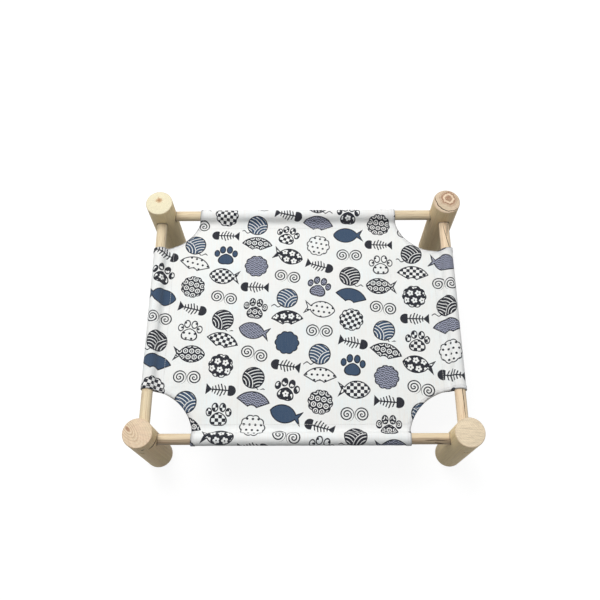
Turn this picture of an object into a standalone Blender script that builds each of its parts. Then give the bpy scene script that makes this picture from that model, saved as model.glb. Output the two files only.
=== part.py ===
"""Cat cot: a canvas sling on four round rails that plug into four round posts.

Metres, +Z up. The origin is on the floor under the middle of the cot. +X is the
cot's right, -Y is its front. The long rails run along X, the short rails along Y.
"""

import math

import bpy
from mathutils import Matrix, Vector

# Posts: lengths of round timber that stand at the four corners.
POST_DIAMETER = 0.042
POST_HEIGHT = 0.155
POST_SPACING_X = 0.458
POST_SPACING_Y = 0.368
POST_CHAMFER = 0.0012

# Rails: dowels whose ends plug into blind sockets in the posts. The short rails
# sit higher than the long ones, so that the two screws in a post pass each other.
RAIL_DIAMETER = 0.016
RAIL_CHAMFER = 0.0008
LONG_RAIL_DROP = 0.042
SHORT_RAIL_DROP = 0.036
SOCKET_DEPTH = 0.012
FIT_GAP = 0.0003

# Screws: countersunk wood screws, driven through a post into the rail's end.
SCREW_LENGTH = 0.050
SHANK_DIAMETER = 0.0040
HEAD_DIAMETER = 0.0080
HEAD_RIM = 0.0005
HEAD_SINK = 0.0010
THREAD_ROOT_DIAMETER = 0.0028
THREAD_PITCH = 0.0022
THREAD_TURNS = 7
THREAD_CREST_WIDTH = 0.0015
TIP_LENGTH = 0.0035
TIP_DIAMETER = 0.0004
PILOT_SPARE = 0.0008
RECESS_WIDTH = 0.0009
RECESS_SPAN = 0.0042
RECESS_DEPTH = 0.0016

# Sling: one canvas sheet with a sleeve along each side and a quarter-round
# cut-out at each corner. Each sleeve's cross-section is a drop: round the rail,
# then two flat layers that meet at the seam.
CANVAS_THICKNESS = 0.0009
SLEEVE_GAP = 0.0004
SEAM_REACH = 0.021
SEAM_LAP = 0.0005
CORNER_RADIUS = 0.070
SLING_SAG = 0.005

# Facets round each kind of turned shape, and cells across the sling.
POST_FACETS = 56
RAIL_FACETS = 36
SCREW_FACETS = 12
THREAD_STEPS = 3
SLEEVE_FACETS = 16
CORNER_FACETS = 72
PANEL_CELLS_X = 18
PANEL_CELLS_Y = 15

# Values that follow from the sizes above.
POST_RADIUS = POST_DIAMETER / 2
RAIL_RADIUS = RAIL_DIAMETER / 2
POST_X = POST_SPACING_X / 2
POST_Y = POST_SPACING_Y / 2
LONG_RAIL_Z = POST_HEIGHT - LONG_RAIL_DROP
SHORT_RAIL_Z = POST_HEIGHT - SHORT_RAIL_DROP
SOCKET_FLOOR = POST_RADIUS - SOCKET_DEPTH
RAIL_INSET = SOCKET_FLOOR + FIT_GAP
SCREW_TOP = POST_RADIUS - HEAD_SINK
SCREW_HOLE_RADIUS = SHANK_DIAMETER / 2 + FIT_GAP
SLEEVE_RADIUS = RAIL_RADIUS + SLEEVE_GAP

SIDES = {"left": -1, "right": 1}
ENDS = {"front": -1, "back": 1}

MATERIALS = {
    "post_wood": ((0.80, 0.66, 0.46, 1.0), 0.62, 0.0),
    "rail_wood": ((0.78, 0.63, 0.43, 1.0), 0.58, 0.0),
    "canvas": ((0.83, 0.84, 0.83, 1.0), 0.90, 0.0),
    "zinc": ((0.62, 0.63, 0.64, 1.0), 0.35, 1.0),
}


def clear_scene():
    """Removes whatever the scene starts with."""
    for obj in list(bpy.data.objects):
        bpy.data.objects.remove(obj)


def make_material(name):
    """A Principled material in the piece's own colour."""
    colour, roughness, metallic = MATERIALS[name]
    material = bpy.data.materials.new(name)
    material.use_nodes = True
    shader = material.node_tree.nodes["Principled BSDF"]
    shader.inputs["Base Color"].default_value = colour
    shader.inputs["Roughness"].default_value = roughness
    shader.inputs["Metallic"].default_value = metallic
    material.diffuse_color = colour
    return material


def make_object(name, points, faces, material=None, smooth=True):
    """An object from points and faces, linked to the scene."""
    mesh = bpy.data.meshes.new(name)
    mesh.from_pydata([tuple(p) for p in points], [], faces)
    mesh.validate()
    if smooth:
        mesh.shade_smooth()
        mesh.set_sharp_from_angle(angle=math.radians(35))
    obj = bpy.data.objects.new(name, mesh)
    bpy.context.scene.collection.objects.link(obj)
    if material:
        mesh.materials.append(material)
    return obj


def helper(obj):
    """Marks an object as a cutter or a joining shape, which isn't part of the cot."""
    obj.hide_render = True
    obj.display_type = "WIRE"
    return obj


def combine(target, tool, operation):
    """Adds an exact Boolean of the tool to the target."""
    modifier = target.modifiers.new(tool.name, "BOOLEAN")
    modifier.operation = operation
    modifier.solver = "EXACT"
    modifier.object = tool


def ring(radius, height, facets, ridge=None):
    """One ring of points about Z. A ridge function of the angle swells its radius."""
    points = []
    for step in range(facets):
        angle = 2 * math.pi * step / facets
        r = radius + (ridge(angle) if ridge else 0.0)
        points.append((r * math.cos(angle), r * math.sin(angle), height))
    return points


def skin_rings(rings, facets):
    """Faces of a closed surface through rings that climb, with flat ends."""
    faces = [list(range(facets))[::-1]]
    for level in range(len(rings) - 1):
        low = level * facets
        high = low + facets
        for step in range(facets):
            after = (step + 1) % facets
            faces.append([low + step, low + after, high + after, high + step])
    last = (len(rings) - 1) * facets
    faces.append([last + step for step in range(facets)])
    return faces


def turned(name, profile, facets, material=None):
    """A solid turned about Z from (radius, height) pairs, lowest first."""
    rings = [ring(radius, height, facets) for radius, height in profile]
    points = [p for one in rings for p in one]
    return make_object(name, points, skin_rings(rings, facets), material)


def prism(name, outline, low, high):
    """A straight prism along Z over an outline that runs anticlockwise."""
    count = len(outline)
    points = [(x, y, low) for x, y in outline] + [(x, y, high) for x, y in outline]
    rings = [points[:count], points[count:]]
    return make_object(name, points, skin_rings(rings, count), smooth=False)


def aim(obj, origin, direction):
    """Puts the object's own Z along a level direction, and its own Y upwards."""
    along = Vector(direction).normalized()
    up = Vector((0, 0, 1))
    side = up.cross(along)
    turn = Matrix((side, up, along)).transposed().to_4x4()
    obj.matrix_world = Matrix.Translation(origin) @ turn
    return obj


def rod_profile(radius, low, high, chamfer):
    """(radius, height) pairs of a rod with chamfered ends."""
    return [
        (radius - chamfer, low),
        (radius, low + chamfer),
        (radius, high - chamfer),
        (radius - chamfer, high),
    ]


def post_joints(side, end):
    """For one post: each rail's height and the direction from the post to that rail."""
    return {
        "long": (LONG_RAIL_Z, (-side, 0, 0)),
        "short": (SHORT_RAIL_Z, (0, -end, 0)),
    }


def joint_cutter(name, origin, direction):
    """The hollow for one joint: the rail's blind socket, the screw's hole and its sunk head."""
    overshoot = POST_RADIUS / 2
    socket_radius = RAIL_RADIUS + FIT_GAP
    head_radius = HEAD_DIAMETER / 2 + FIT_GAP
    head_slope = head_radius - SCREW_HOLE_RADIUS
    head_seat = -SCREW_TOP + HEAD_RIM + FIT_GAP
    profile = [
        (head_radius, -POST_RADIUS - overshoot),
        (head_radius, head_seat),
        (SCREW_HOLE_RADIUS, head_seat + head_slope),
        (SCREW_HOLE_RADIUS, SOCKET_FLOOR),
        (socket_radius, SOCKET_FLOOR),
        (socket_radius, POST_RADIUS + overshoot),
    ]
    return aim(helper(turned(name, profile, RAIL_FACETS)), origin, direction)


def make_post(name, side, end, material):
    """A post, cut for the long rail's joint and the short rail's joint."""
    profile = rod_profile(POST_RADIUS, 0.0, POST_HEIGHT, POST_CHAMFER)
    post = turned(name, profile, POST_FACETS, material)
    post.location = (side * POST_X, end * POST_Y, 0)
    for kind, (height, direction) in post_joints(side, end).items():
        origin = (side * POST_X, end * POST_Y, height)
        combine(post, joint_cutter(f"{name}_{kind}_joint", origin, direction), "DIFFERENCE")
    return post


def pilot_depth():
    """How deep a rail's pilot hole is: the screw's reach into the rail, and a little more."""
    return SCREW_LENGTH - SCREW_TOP - RAIL_INSET + PILOT_SPARE


def make_rail(name, centre, direction, spacing, material):
    """A dowel between two posts, with a pilot hole in each end."""
    half = spacing / 2 - RAIL_INSET
    rail = turned(name, rod_profile(RAIL_RADIUS, -half, half, RAIL_CHAMFER), RAIL_FACETS, material)
    aim(rail, centre, direction)
    for tag, sign in (("start", -1), ("finish", 1)):
        mouth = sign * (half + RAIL_RADIUS)
        floor = sign * (half - pilot_depth())
        low, high = sorted((mouth, floor))
        profile = [(SCREW_HOLE_RADIUS, low), (SCREW_HOLE_RADIUS, high)]
        drill = helper(turned(f"{name}_{tag}_pilot", profile, SCREW_FACETS))
        aim(drill, centre, direction)
        combine(rail, drill, "DIFFERENCE")
    return rail


def thread_ridge(height):
    """How far the thread stands out at a height, as a function of the angle."""
    rise = (SHANK_DIAMETER - THREAD_ROOT_DIAMETER) / 2

    def ridge(angle):
        turns = height / THREAD_PITCH - angle / (2 * math.pi)
        from_crest = abs(turns % 1.0 - 0.5) * THREAD_PITCH
        return rise * max(0.0, 1.0 - from_crest / (THREAD_CREST_WIDTH / 2))

    return ridge


def make_screw(name, origin, direction, material):
    """A countersunk wood screw whose axis starts at its head and runs to its tip."""
    head_radius = HEAD_DIAMETER / 2
    shank_radius = SHANK_DIAMETER / 2
    root_radius = THREAD_ROOT_DIAMETER / 2
    thread_length = THREAD_TURNS * THREAD_PITCH
    thread_start = SCREW_LENGTH - TIP_LENGTH - thread_length
    plain = [
        (head_radius, 0.0),
        (head_radius, HEAD_RIM),
        (shank_radius, HEAD_RIM + head_radius - shank_radius),
        (shank_radius, thread_start - THREAD_PITCH / 2),
        (root_radius, thread_start),
    ]
    rings = [ring(radius, height, SCREW_FACETS) for radius, height in plain]
    for step in range(1, THREAD_TURNS * THREAD_STEPS):
        height = thread_start + step * THREAD_PITCH / THREAD_STEPS
        rings.append(ring(root_radius, height, SCREW_FACETS, thread_ridge(height)))
    rings.append(ring(root_radius, SCREW_LENGTH - TIP_LENGTH, SCREW_FACETS))
    rings.append(ring(TIP_DIAMETER / 2, SCREW_LENGTH, SCREW_FACETS))
    points = [p for one in rings for p in one]
    screw = make_object(name, points, skin_rings(rings, SCREW_FACETS), material)
    start = Vector(origin) - SCREW_TOP * Vector(direction)
    aim(screw, start, direction)
    recess = helper(driver_recess(f"{name}_recess"))
    aim(recess, start, direction)
    combine(screw, recess, "DIFFERENCE")
    return screw


def driver_recess(name):
    """A plus-shaped cutter for the screwdriver, from above the head to the recess's floor."""
    arm = RECESS_SPAN / 2
    half = RECESS_WIDTH / 2
    quarter = [(arm, -half), (arm, half), (half, half)]
    outline = []
    for turn in range(4):
        c, s = math.cos(turn * math.pi / 2), math.sin(turn * math.pi / 2)
        outline += [(x * c - y * s, x * s + y * c) for x, y in quarter]
    return prism(name, outline, -RECESS_DEPTH, RECESS_DEPTH)


def drop_outline(radius):
    """A drop about the rail's axis: an arc, and two straight sides that meet at the seam.

    The inner drop's apex is SEAM_REACH from the axis, and every other drop's sides
    are parallel to its sides, so that the wall between two drops is even.
    """
    tangent = math.acos(-SLEEVE_RADIUS / SEAM_REACH)
    outline = [(-radius * SEAM_REACH / SLEEVE_RADIUS, 0.0)]
    for step in range(SLEEVE_FACETS + 1):
        angle = -tangent + 2 * tangent * step / SLEEVE_FACETS
        outline.append((radius * math.cos(angle), radius * math.sin(angle)))
    return outline


def make_drop(name, radius, centre, outward, length):
    """A drop-shaped prism along a rail, its apex towards the middle of the cot."""
    drop = helper(prism(name, drop_outline(radius), -length / 2, length / 2))
    out = Vector(outward)
    up = Vector((0, 0, 1))
    along = out.cross(up)
    turn = Matrix((out, up, along)).transposed().to_4x4()
    drop.matrix_world = Matrix.Translation(centre) @ turn
    return drop


def panel_height(u, v):
    """The panel's mid-surface, for u across and v along from -1 to 1.

    It meets each seam at its rail's height, blends between them by how near each
    pair of seams is, and sags in the middle.
    """
    across = 1 - u * u
    along = 1 - v * v
    total = across + along
    blend = 0.5 if total < 1e-9 else along / total
    level = SHORT_RAIL_Z * blend + LONG_RAIL_Z * (1 - blend)
    return level - SLING_SAG * across * along


def make_panel(name, half_x, half_y, material):
    """The sling's middle: a sagging plate of even thickness on a grid."""
    columns, rows = PANEL_CELLS_X + 1, PANEL_CELLS_Y + 1
    points = []
    for layer in (-0.5, 0.5):
        for row in range(rows):
            v = 2 * row / PANEL_CELLS_Y - 1
            for column in range(columns):
                u = 2 * column / PANEL_CELLS_X - 1
                height = panel_height(u, v) + layer * CANVAS_THICKNESS
                points.append((u * half_x, v * half_y, height))
    lift = columns * rows
    faces = []
    for row in range(PANEL_CELLS_Y):
        for column in range(PANEL_CELLS_X):
            a = row * columns + column
            quad = [a, a + 1, a + columns + 1, a + columns]
            faces.append(quad[::-1])
            faces.append([lift + i for i in quad])
    front = list(range(columns))
    right = [row * columns + PANEL_CELLS_X for row in range(rows)]
    back = [PANEL_CELLS_Y * columns + column for column in range(columns)][::-1]
    left = [row * columns for row in range(rows)][::-1]
    for edge in (front, right, back, left):
        for a, b in zip(edge, edge[1:]):
            faces.append([a, b, lift + b, lift + a])
    return make_object(name, points, faces, material)


def make_sling(material):
    """The canvas: panel and four sleeves in one piece, with the corners cut out."""
    edge_reach = SEAM_REACH + SEAM_LAP
    sling = make_panel("sling", POST_X - edge_reach, POST_Y - edge_reach, material)
    outer_radius = SLEEVE_RADIUS + CANVAS_THICKNESS
    overrun = CORNER_RADIUS * 0.9
    sleeves = [
        (f"sleeve_{name}", (sign * POST_X, 0, SHORT_RAIL_Z), (sign, 0, 0), POST_SPACING_Y)
        for name, sign in SIDES.items()
    ] + [
        (f"sleeve_{name}", (0, sign * POST_Y, LONG_RAIL_Z), (0, sign, 0), POST_SPACING_X)
        for name, sign in ENDS.items()
    ]
    for name, centre, outward, spacing in sleeves:
        wall = make_drop(f"{name}_wall", outer_radius, centre, outward, spacing - overrun)
        combine(sling, wall, "UNION")
    for name, centre, outward, spacing in sleeves:
        bore = make_drop(f"{name}_bore", SLEEVE_RADIUS, centre, outward, spacing - overrun / 2)
        combine(sling, bore, "DIFFERENCE")
    for side_name, side in SIDES.items():
        for end_name, end in ENDS.items():
            profile = [(CORNER_RADIUS, 0.0), (CORNER_RADIUS, 2 * POST_HEIGHT)]
            corner = helper(turned(f"corner_{end_name}_{side_name}", profile, CORNER_FACETS))
            corner.location = (side * POST_X, end * POST_Y, 0)
            combine(sling, corner, "DIFFERENCE")
    return sling


def main():
    """Builds every piece of the cot."""
    clear_scene()
    material = {name: make_material(name) for name in MATERIALS}
    for end_name, end in ENDS.items():
        for side_name, side in SIDES.items():
            corner = f"{end_name}_{side_name}"
            make_post(f"post_{corner}", side, end, material["post_wood"])
            for kind, (height, direction) in post_joints(side, end).items():
                origin = (side * POST_X, end * POST_Y, height)
                make_screw(f"screw_{corner}_{kind}_rail", origin, direction, material["zinc"])
    for name, end in ENDS.items():
        centre = (0, end * POST_Y, LONG_RAIL_Z)
        make_rail(f"rail_{name}", centre, (1, 0, 0), POST_SPACING_X, material["rail_wood"])
    for name, side in SIDES.items():
        centre = (side * POST_X, 0, SHORT_RAIL_Z)
        make_rail(f"rail_{name}", centre, (0, 1, 0), POST_SPACING_Y, material["rail_wood"])
    make_sling(material["canvas"])


main()
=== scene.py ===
"""Cat cot: the looks of a canvas sling on round wooden rails and posts.

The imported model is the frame. Posts, rails and the canvas are built here again as
finer surfaces in the same places, and the screws get their finish. Metres, +Z up.
"""

import math

import bmesh
import bpy
import numpy as np
from bpy.props import (
    FloatProperty,
    FloatVectorProperty,
    IntProperty,
    PointerProperty,
)
from mathutils import Matrix, Vector


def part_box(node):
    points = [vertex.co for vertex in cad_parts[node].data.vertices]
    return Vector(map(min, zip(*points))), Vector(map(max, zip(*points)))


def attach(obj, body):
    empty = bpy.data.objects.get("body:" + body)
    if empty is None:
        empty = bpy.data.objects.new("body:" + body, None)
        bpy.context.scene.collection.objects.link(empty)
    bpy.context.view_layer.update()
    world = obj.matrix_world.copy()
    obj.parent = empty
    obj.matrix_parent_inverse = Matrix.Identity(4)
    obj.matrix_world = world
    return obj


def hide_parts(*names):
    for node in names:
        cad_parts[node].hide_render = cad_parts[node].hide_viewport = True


bl_info = {
    "name": "Cat cot",
    "version": (1, 0, 0),
    "blender": (4, 5, 0),
    "location": "View3D > Sidebar > Cot",
    "description": "Builds the posts, rails, canvas and stage of a cat cot",
    "category": "Object",
}

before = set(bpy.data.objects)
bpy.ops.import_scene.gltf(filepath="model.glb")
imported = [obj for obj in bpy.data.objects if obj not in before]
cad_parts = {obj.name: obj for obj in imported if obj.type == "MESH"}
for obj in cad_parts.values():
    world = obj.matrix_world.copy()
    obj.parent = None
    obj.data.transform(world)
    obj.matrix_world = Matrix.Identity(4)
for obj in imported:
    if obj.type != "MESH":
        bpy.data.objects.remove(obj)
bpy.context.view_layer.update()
MM = 0.001


def middle(node):
    """The middle of a CAD node's box."""
    low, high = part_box(node)
    return (low + high) / 2


def extent(node):
    """The size of a CAD node's box."""
    low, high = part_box(node)
    return high - low


SIDES = {"left": -1, "right": 1}
ENDS = {"front": -1, "back": 1}
CORNERS = {f"{end}_{side}": (SIDES[side], ENDS[end]) for end in ENDS for side in SIDES}
POST_RADIUS = extent("post_front_left").x / 2
POST_HEIGHT = extent("post_front_left").z
RAIL_RADIUS = extent("rail_front").z / 2
RAIL_X = middle("rail_right").x
RAIL_Y = middle("rail_back").y
SIDE_RAIL_Z = middle("rail_right").z
END_RAIL_Z = middle("rail_back").z
SCREW_HEAD_RADIUS = extent("screw_front_left_long_rail").z / 2
SCREW_TOP = -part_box("screw_front_left_long_rail")[0].x - RAIL_X
FIT_GAP = 0.3 * MM
HEAD_RIM = 0.5 * MM
RAIL_EDGE = 0.8 * MM
EDGE_POINTS = 5
POST_RINGS = 24
RAIL_RINGS = 60
RAIL_FACETS = 72
HOLE_FACETS = 64
ROUND_SMOOTH = 30.0
SHEET_SMOOTH = 55.0
HEM_SMOOTH = 60.0
CRACK_SLOT = 1
HEART_RGB = (150, 102, 74)
AXES = {"X": (1, 0, 0), "Y": (0, 1, 0)}


def srgb(red, green, blue):
    """A colour as a screen shows it, from 0 to 255, as linear values."""
    linear = []
    for level in (red, green, blue):
        c = level / 255
        linear.append(c / 12.92 if c <= 0.04045 else ((c + 0.055) / 1.055) ** 2.4)
    return tuple(linear)


def colour_property(name, description, red, green, blue):
    """A colour that the user can change, with its default as a screen shows it."""
    return FloatVectorProperty(
        name=name,
        description=description,
        default=srgb(red, green, blue),
        subtype="COLOR",
        min=0.0,
        max=1.0,
    )


def length_property(name, description, default):
    """A length in metres that the user can change."""
    return FloatProperty(name=name, description=description, default=default, unit="LENGTH", precision=5)


def angle_property(name, description, default):
    """An angle in radians that the user can change."""
    return FloatProperty(name=name, description=description, default=default, subtype="ANGLE")


class CotWood(bpy.types.PropertyGroup):
    """Sizes and colours of the posts and rails."""

    edge_radius: length_property("Edge radius", "Rounding of a post's two ends", 1.2 * MM)
    socket_depth: length_property("Socket depth", "How far a rail goes into a post", 12.0 * MM)
    pilot_radius: length_property("Pilot radius", "Half the width of a screw's hole", 2.3 * MM)
    pilot_depth: length_property("Pilot depth", "Depth of the hole in a rail's end", 20.5 * MM)
    socket_gap: length_property("Socket gap", "Room between a rail and its socket's wall", 1.0 * MM)
    ring_pitch: length_property("Ring pitch", "Width of one year's growth", 2.6 * MM)
    early: colour_property("Early wood", "Pale wood of a ring's spring growth", 223, 207, 175)
    late: colour_property("Late wood", "Darker line at a ring's edge", 203, 179, 141)
    heart: colour_property("Heartwood", "Brown wood round the pith", *HEART_RGB)
    blush: colour_property("Blush", "Pinkish tint of some pieces", 226, 194, 168)
    # Painted shade inside cracks and grooves, also used for the painted contact shadow at the joints
    crack: colour_property("Crack", "Inside of cracks and grooves", 56, 39, 26)


class CotSling(bpy.types.PropertyGroup):
    """Sizes and colours of the canvas."""

    thickness: length_property("Thickness", "Thickness of one layer of canvas", 0.9 * MM)
    sleeve_gap: length_property("Sleeve gap", "Room between a rail and its sleeve", 0.4 * MM)
    seam_reach: length_property("Seam reach", "From a rail's axis to its sleeve's seam", 21.0 * MM)
    corner_radius: length_property("Corner radius", "Radius of the cut-outs at the posts", 70.0 * MM)
    sag: length_property("Sag", "How far the middle hangs below the rails", 5.0 * MM)
    flap_lap: length_property("Flap lap", "How far a sleeve's flap goes past its seam", 2.5 * MM)
    cling: angle_property("Cling", "How far down a rail's inner side the canvas lies", math.radians(163))
    droop: length_property("Droop", "How far the canvas drops beside the rails", 5.0 * MM)
    hem_width: length_property("Hem width", "Width of the hem round a cut-out", 6.5 * MM)
    stitch_pitch: length_property("Stitch pitch", "Length of one stitch and its gap", 3.2 * MM)
    thread_radius: length_property("Thread radius", "Half the thread's thickness", 0.24 * MM)
    cell: length_property("Cell", "Spacing of the canvas's mesh", 3.0 * MM)
    yarn: length_property("Yarn", "Spacing of the canvas's yarns", 0.62 * MM)
    canvas: colour_property("Canvas", "Bleached canvas", 240, 242, 243)
    # Painted shade: canvas over a second layer, where less light comes through
    layer_shade: colour_property("Doubled canvas", "Canvas over a second layer", 226, 225, 229)
    thread: colour_property("Thread", "Sewing thread", 228, 228, 224)


class CotPrint(bpy.types.PropertyGroup):
    """Sizes and colours of the printed pattern."""

    column: length_property("Column", "Distance between columns of motifs", 49.5 * MM)
    row: length_property("Row", "Distance between motifs in a column", 37.0 * MM)
    navy: colour_property("Navy", "Slate blue ink", 54, 75, 101)
    ink: colour_property("Ink", "Charcoal ink of lines and dark motifs", 29, 31, 41)
    lilac: colour_property("Lilac", "Greyish lilac ink", 158, 162, 182)


class CotStage(bpy.types.PropertyGroup):
    """Camera, lamp, sky and floor."""

    lens: FloatProperty(name="Lens", description="Camera's focal length", default=40.08, unit="CAMERA")
    yaw: angle_property("Yaw", "Camera's turn to the left", 0.01768)
    pitch: angle_property("Pitch", "Camera's tilt down", 1.16353)
    roll: angle_property("Roll", "Camera's roll clockwise", 0.02029)
    place: FloatVectorProperty(
        name="Place",
        description="Where the camera stands",
        default=(0.00247, -0.37997, 1.0698),
        subtype="TRANSLATION",
        unit="LENGTH",
    )
    key_power: FloatProperty(name="Key", description="Power of the large lamp", default=23.5, unit="POWER")
    sky: FloatProperty(name="Sky", description="Brightness of the light from all round", default=0.50)
    lean: FloatProperty(name="Lean", description="How much more sky light comes from behind", default=0.6)
    floor: colour_property("Floor", "Grey of the floor as a surface that lights the cot", 130, 130, 130)


class CotSettings(bpy.types.PropertyGroup):
    """Everything that can be changed about the cot."""

    wood: PointerProperty(type=CotWood)
    sling: PointerProperty(type=CotSling)
    print: PointerProperty(type=CotPrint)
    stage: PointerProperty(type=CotStage)
    facets: IntProperty(name="Facets", description="Facets round a post", default=128, min=24)


class Signal:
    """A number that varies over a surface. Python's operators on it add Math nodes."""

    def __init__(self, nodes, socket):
        self.nodes = nodes
        self.socket = socket

    def __add__(self, other):
        return self.nodes.math("ADD", self, other)

    def __sub__(self, other):
        return self.nodes.math("SUBTRACT", self, other)

    def __rsub__(self, other):
        return self.nodes.math("SUBTRACT", other, self)

    def __mul__(self, other):
        return self.nodes.math("MULTIPLY", self, other)

    def __truediv__(self, other):
        return self.nodes.math("DIVIDE", self, other)

    def __rtruediv__(self, other):
        return self.nodes.math("DIVIDE", other, self)

    def __mod__(self, other):
        return self.nodes.math("FLOORED_MODULO", self, other)

    def __abs__(self):
        return self.nodes.math("ABSOLUTE", self)

    __radd__ = __add__
    __rmul__ = __mul__

    def floor(self):
        return self.nodes.math("FLOOR", self)

    def sine(self):
        return self.nodes.math("SINE", self)

    def cosine(self):
        return self.nodes.math("COSINE", self)

    def is_near(self, value):
        """1 where the signal is within a half of a whole number, and 0 elsewhere."""
        return self.nodes.math("COMPARE", self, value, 0.5)

    def rise(self, low, high):
        """0 below low, 1 above high and a smooth climb between them."""
        node = self.nodes.node(
            "ShaderNodeMapRange",
            {"interpolation_type": "SMOOTHSTEP"},
            {"Value": self, "From Min": low, "From Max": high},
        )
        return self.nodes.signal(node, "Result")

    def inside(self, soft=0.12):
        """1 where a distance is negative and 0 where it is positive, with a soft edge."""
        return 1.0 - self.rise(-soft, soft)


class Nodes:
    """The nodes of a material or of the world, and the ways to add to them."""

    def __init__(self, tree):
        self.tree = tree

    def node(self, kind, settings=None, inputs=None):
        """Adds a node, with its settings first and then its sockets' values or links."""
        made = self.tree.nodes.new(kind)
        for key, value in (settings or {}).items():
            setattr(made, key, value)
        for key, value in (inputs or {}).items():
            self.feed(made.inputs[key], value)
        return made

    def feed(self, socket, value):
        """Links a signal or a socket to a socket, or sets the socket's own value."""
        if isinstance(value, Signal):
            self.tree.links.new(value.socket, socket)
        elif isinstance(value, bpy.types.NodeSocket):
            self.tree.links.new(value, socket)
        else:
            socket.default_value = value

    def signal(self, node, output):
        return Signal(self, node.outputs[output])

    def math(self, operation, *values):
        node = self.node("ShaderNodeMath", {"operation": operation}, dict(enumerate(values)))
        return self.signal(node, 0)

    def smallest(self, *values):
        """The smallest of several signals."""
        least = values[0]
        for value in values[1:]:
            least = self.math("MINIMUM", least, value)
        return least

    def largest(self, *values):
        """The largest of several signals."""
        most = values[0]
        for value in values[1:]:
            most = self.math("MAXIMUM", most, value)
        return most

    def vector(self, x, y, z=0.0):
        return self.node("ShaderNodeCombineXYZ", None, {"X": x, "Y": y, "Z": z}).outputs[0]

    def split(self, vector):
        node = self.node("ShaderNodeSeparateXYZ", None, {0: vector})
        return [self.signal(node, axis) for axis in "XYZ"]

    def reach(self, x, y):
        """The distance of (x, y) from zero."""
        node = self.node("ShaderNodeVectorMath", {"operation": "LENGTH"}, {0: self.vector(x, y)})
        return self.signal(node, "Value")

    def noise(self, vector, detail=2.0, roughness=0.5, scale=1.0):
        """Smooth noise about zero, from -0.5 to 0.5."""
        node = self.node(
            "ShaderNodeTexNoise",
            {"noise_dimensions": "3D"},
            {"Vector": vector, "Scale": scale, "Detail": detail, "Roughness": roughness},
        )
        return self.signal(node, 0) - 0.5

    def blend(self, factor, first, second):
        """The first colour where the factor is 0, the second where it is 1."""
        node = self.node(
            "ShaderNodeMix",
            {"data_type": "RGBA"},
            {0: factor, 6: self.rgba(first), 7: self.rgba(second)},
        )
        return node.outputs[2]

    def shade(self, colour, amount):
        """The colour times one number."""
        node = self.node(
            "ShaderNodeVectorMath",
            {"operation": "SCALE"},
            {0: colour, "Scale": amount},
        )
        return node.outputs[0]

    def tinted(self, colour, tint):
        """The colour times another."""
        node = self.node("ShaderNodeVectorMath", {"operation": "MULTIPLY"}, {0: colour, 1: tint})
        return node.outputs[0]

    def rgba(self, colour):
        if isinstance(colour, bpy.types.NodeSocket):
            return colour
        return (*tuple(colour)[:3], 1.0)

    def object_mm(self, origin=(0.0, 0.0, 0.0)):
        """Where a point is on the piece, in millimetres from an origin in metres."""
        node = self.node("ShaderNodeTexCoord")
        mapping = self.node(
            "ShaderNodeMapping",
            {"vector_type": "POINT"},
            {
                "Vector": node.outputs["Object"],
                "Location": tuple(-c / MM for c in origin),
                "Scale": (1 / MM,) * 3,
            },
        )
        return mapping.outputs[0]

    def stored(self, name):
        """A value that is stored at each point of the piece."""
        return self.signal(self.node("ShaderNodeAttribute", {"attribute_name": name}), "Fac")

    def looked_at(self):
        """1 for rays from the camera, by way of a mirror or glass too, and 0 for all others."""
        path = self.node("ShaderNodeLightPath")
        rays = ("Is Camera Ray", "Is Glossy Ray", "Is Transmission Ray")
        return self.largest(*[self.signal(path, ray) for ray in rays])


class Recipe(Nodes):
    """A material's nodes, from surface signals to one Principled shader."""

    def __init__(self, name):
        self.material = bpy.data.materials.new(name)
        self.material.use_nodes = True
        super().__init__(self.material.node_tree)
        self.shader = self.tree.nodes["Principled BSDF"]

    def finish(self, colour, roughness, height=None, depth=0.1 * MM, **fixed):
        """Feeds the Principled shader. The height is in units of the depth."""
        self.feed(self.shader.inputs["Base Color"], colour)
        self.feed(self.shader.inputs["Roughness"], roughness)
        if height is not None:
            bump = self.node("ShaderNodeBump", None, {"Height": height, "Distance": depth, "Strength": 1.0})
            self.feed(self.shader.inputs["Normal"], bump.outputs[0])
        for key, value in fixed.items():
            self.feed(self.shader.inputs[key.replace("_", " ")], value)
        return self.material


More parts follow.
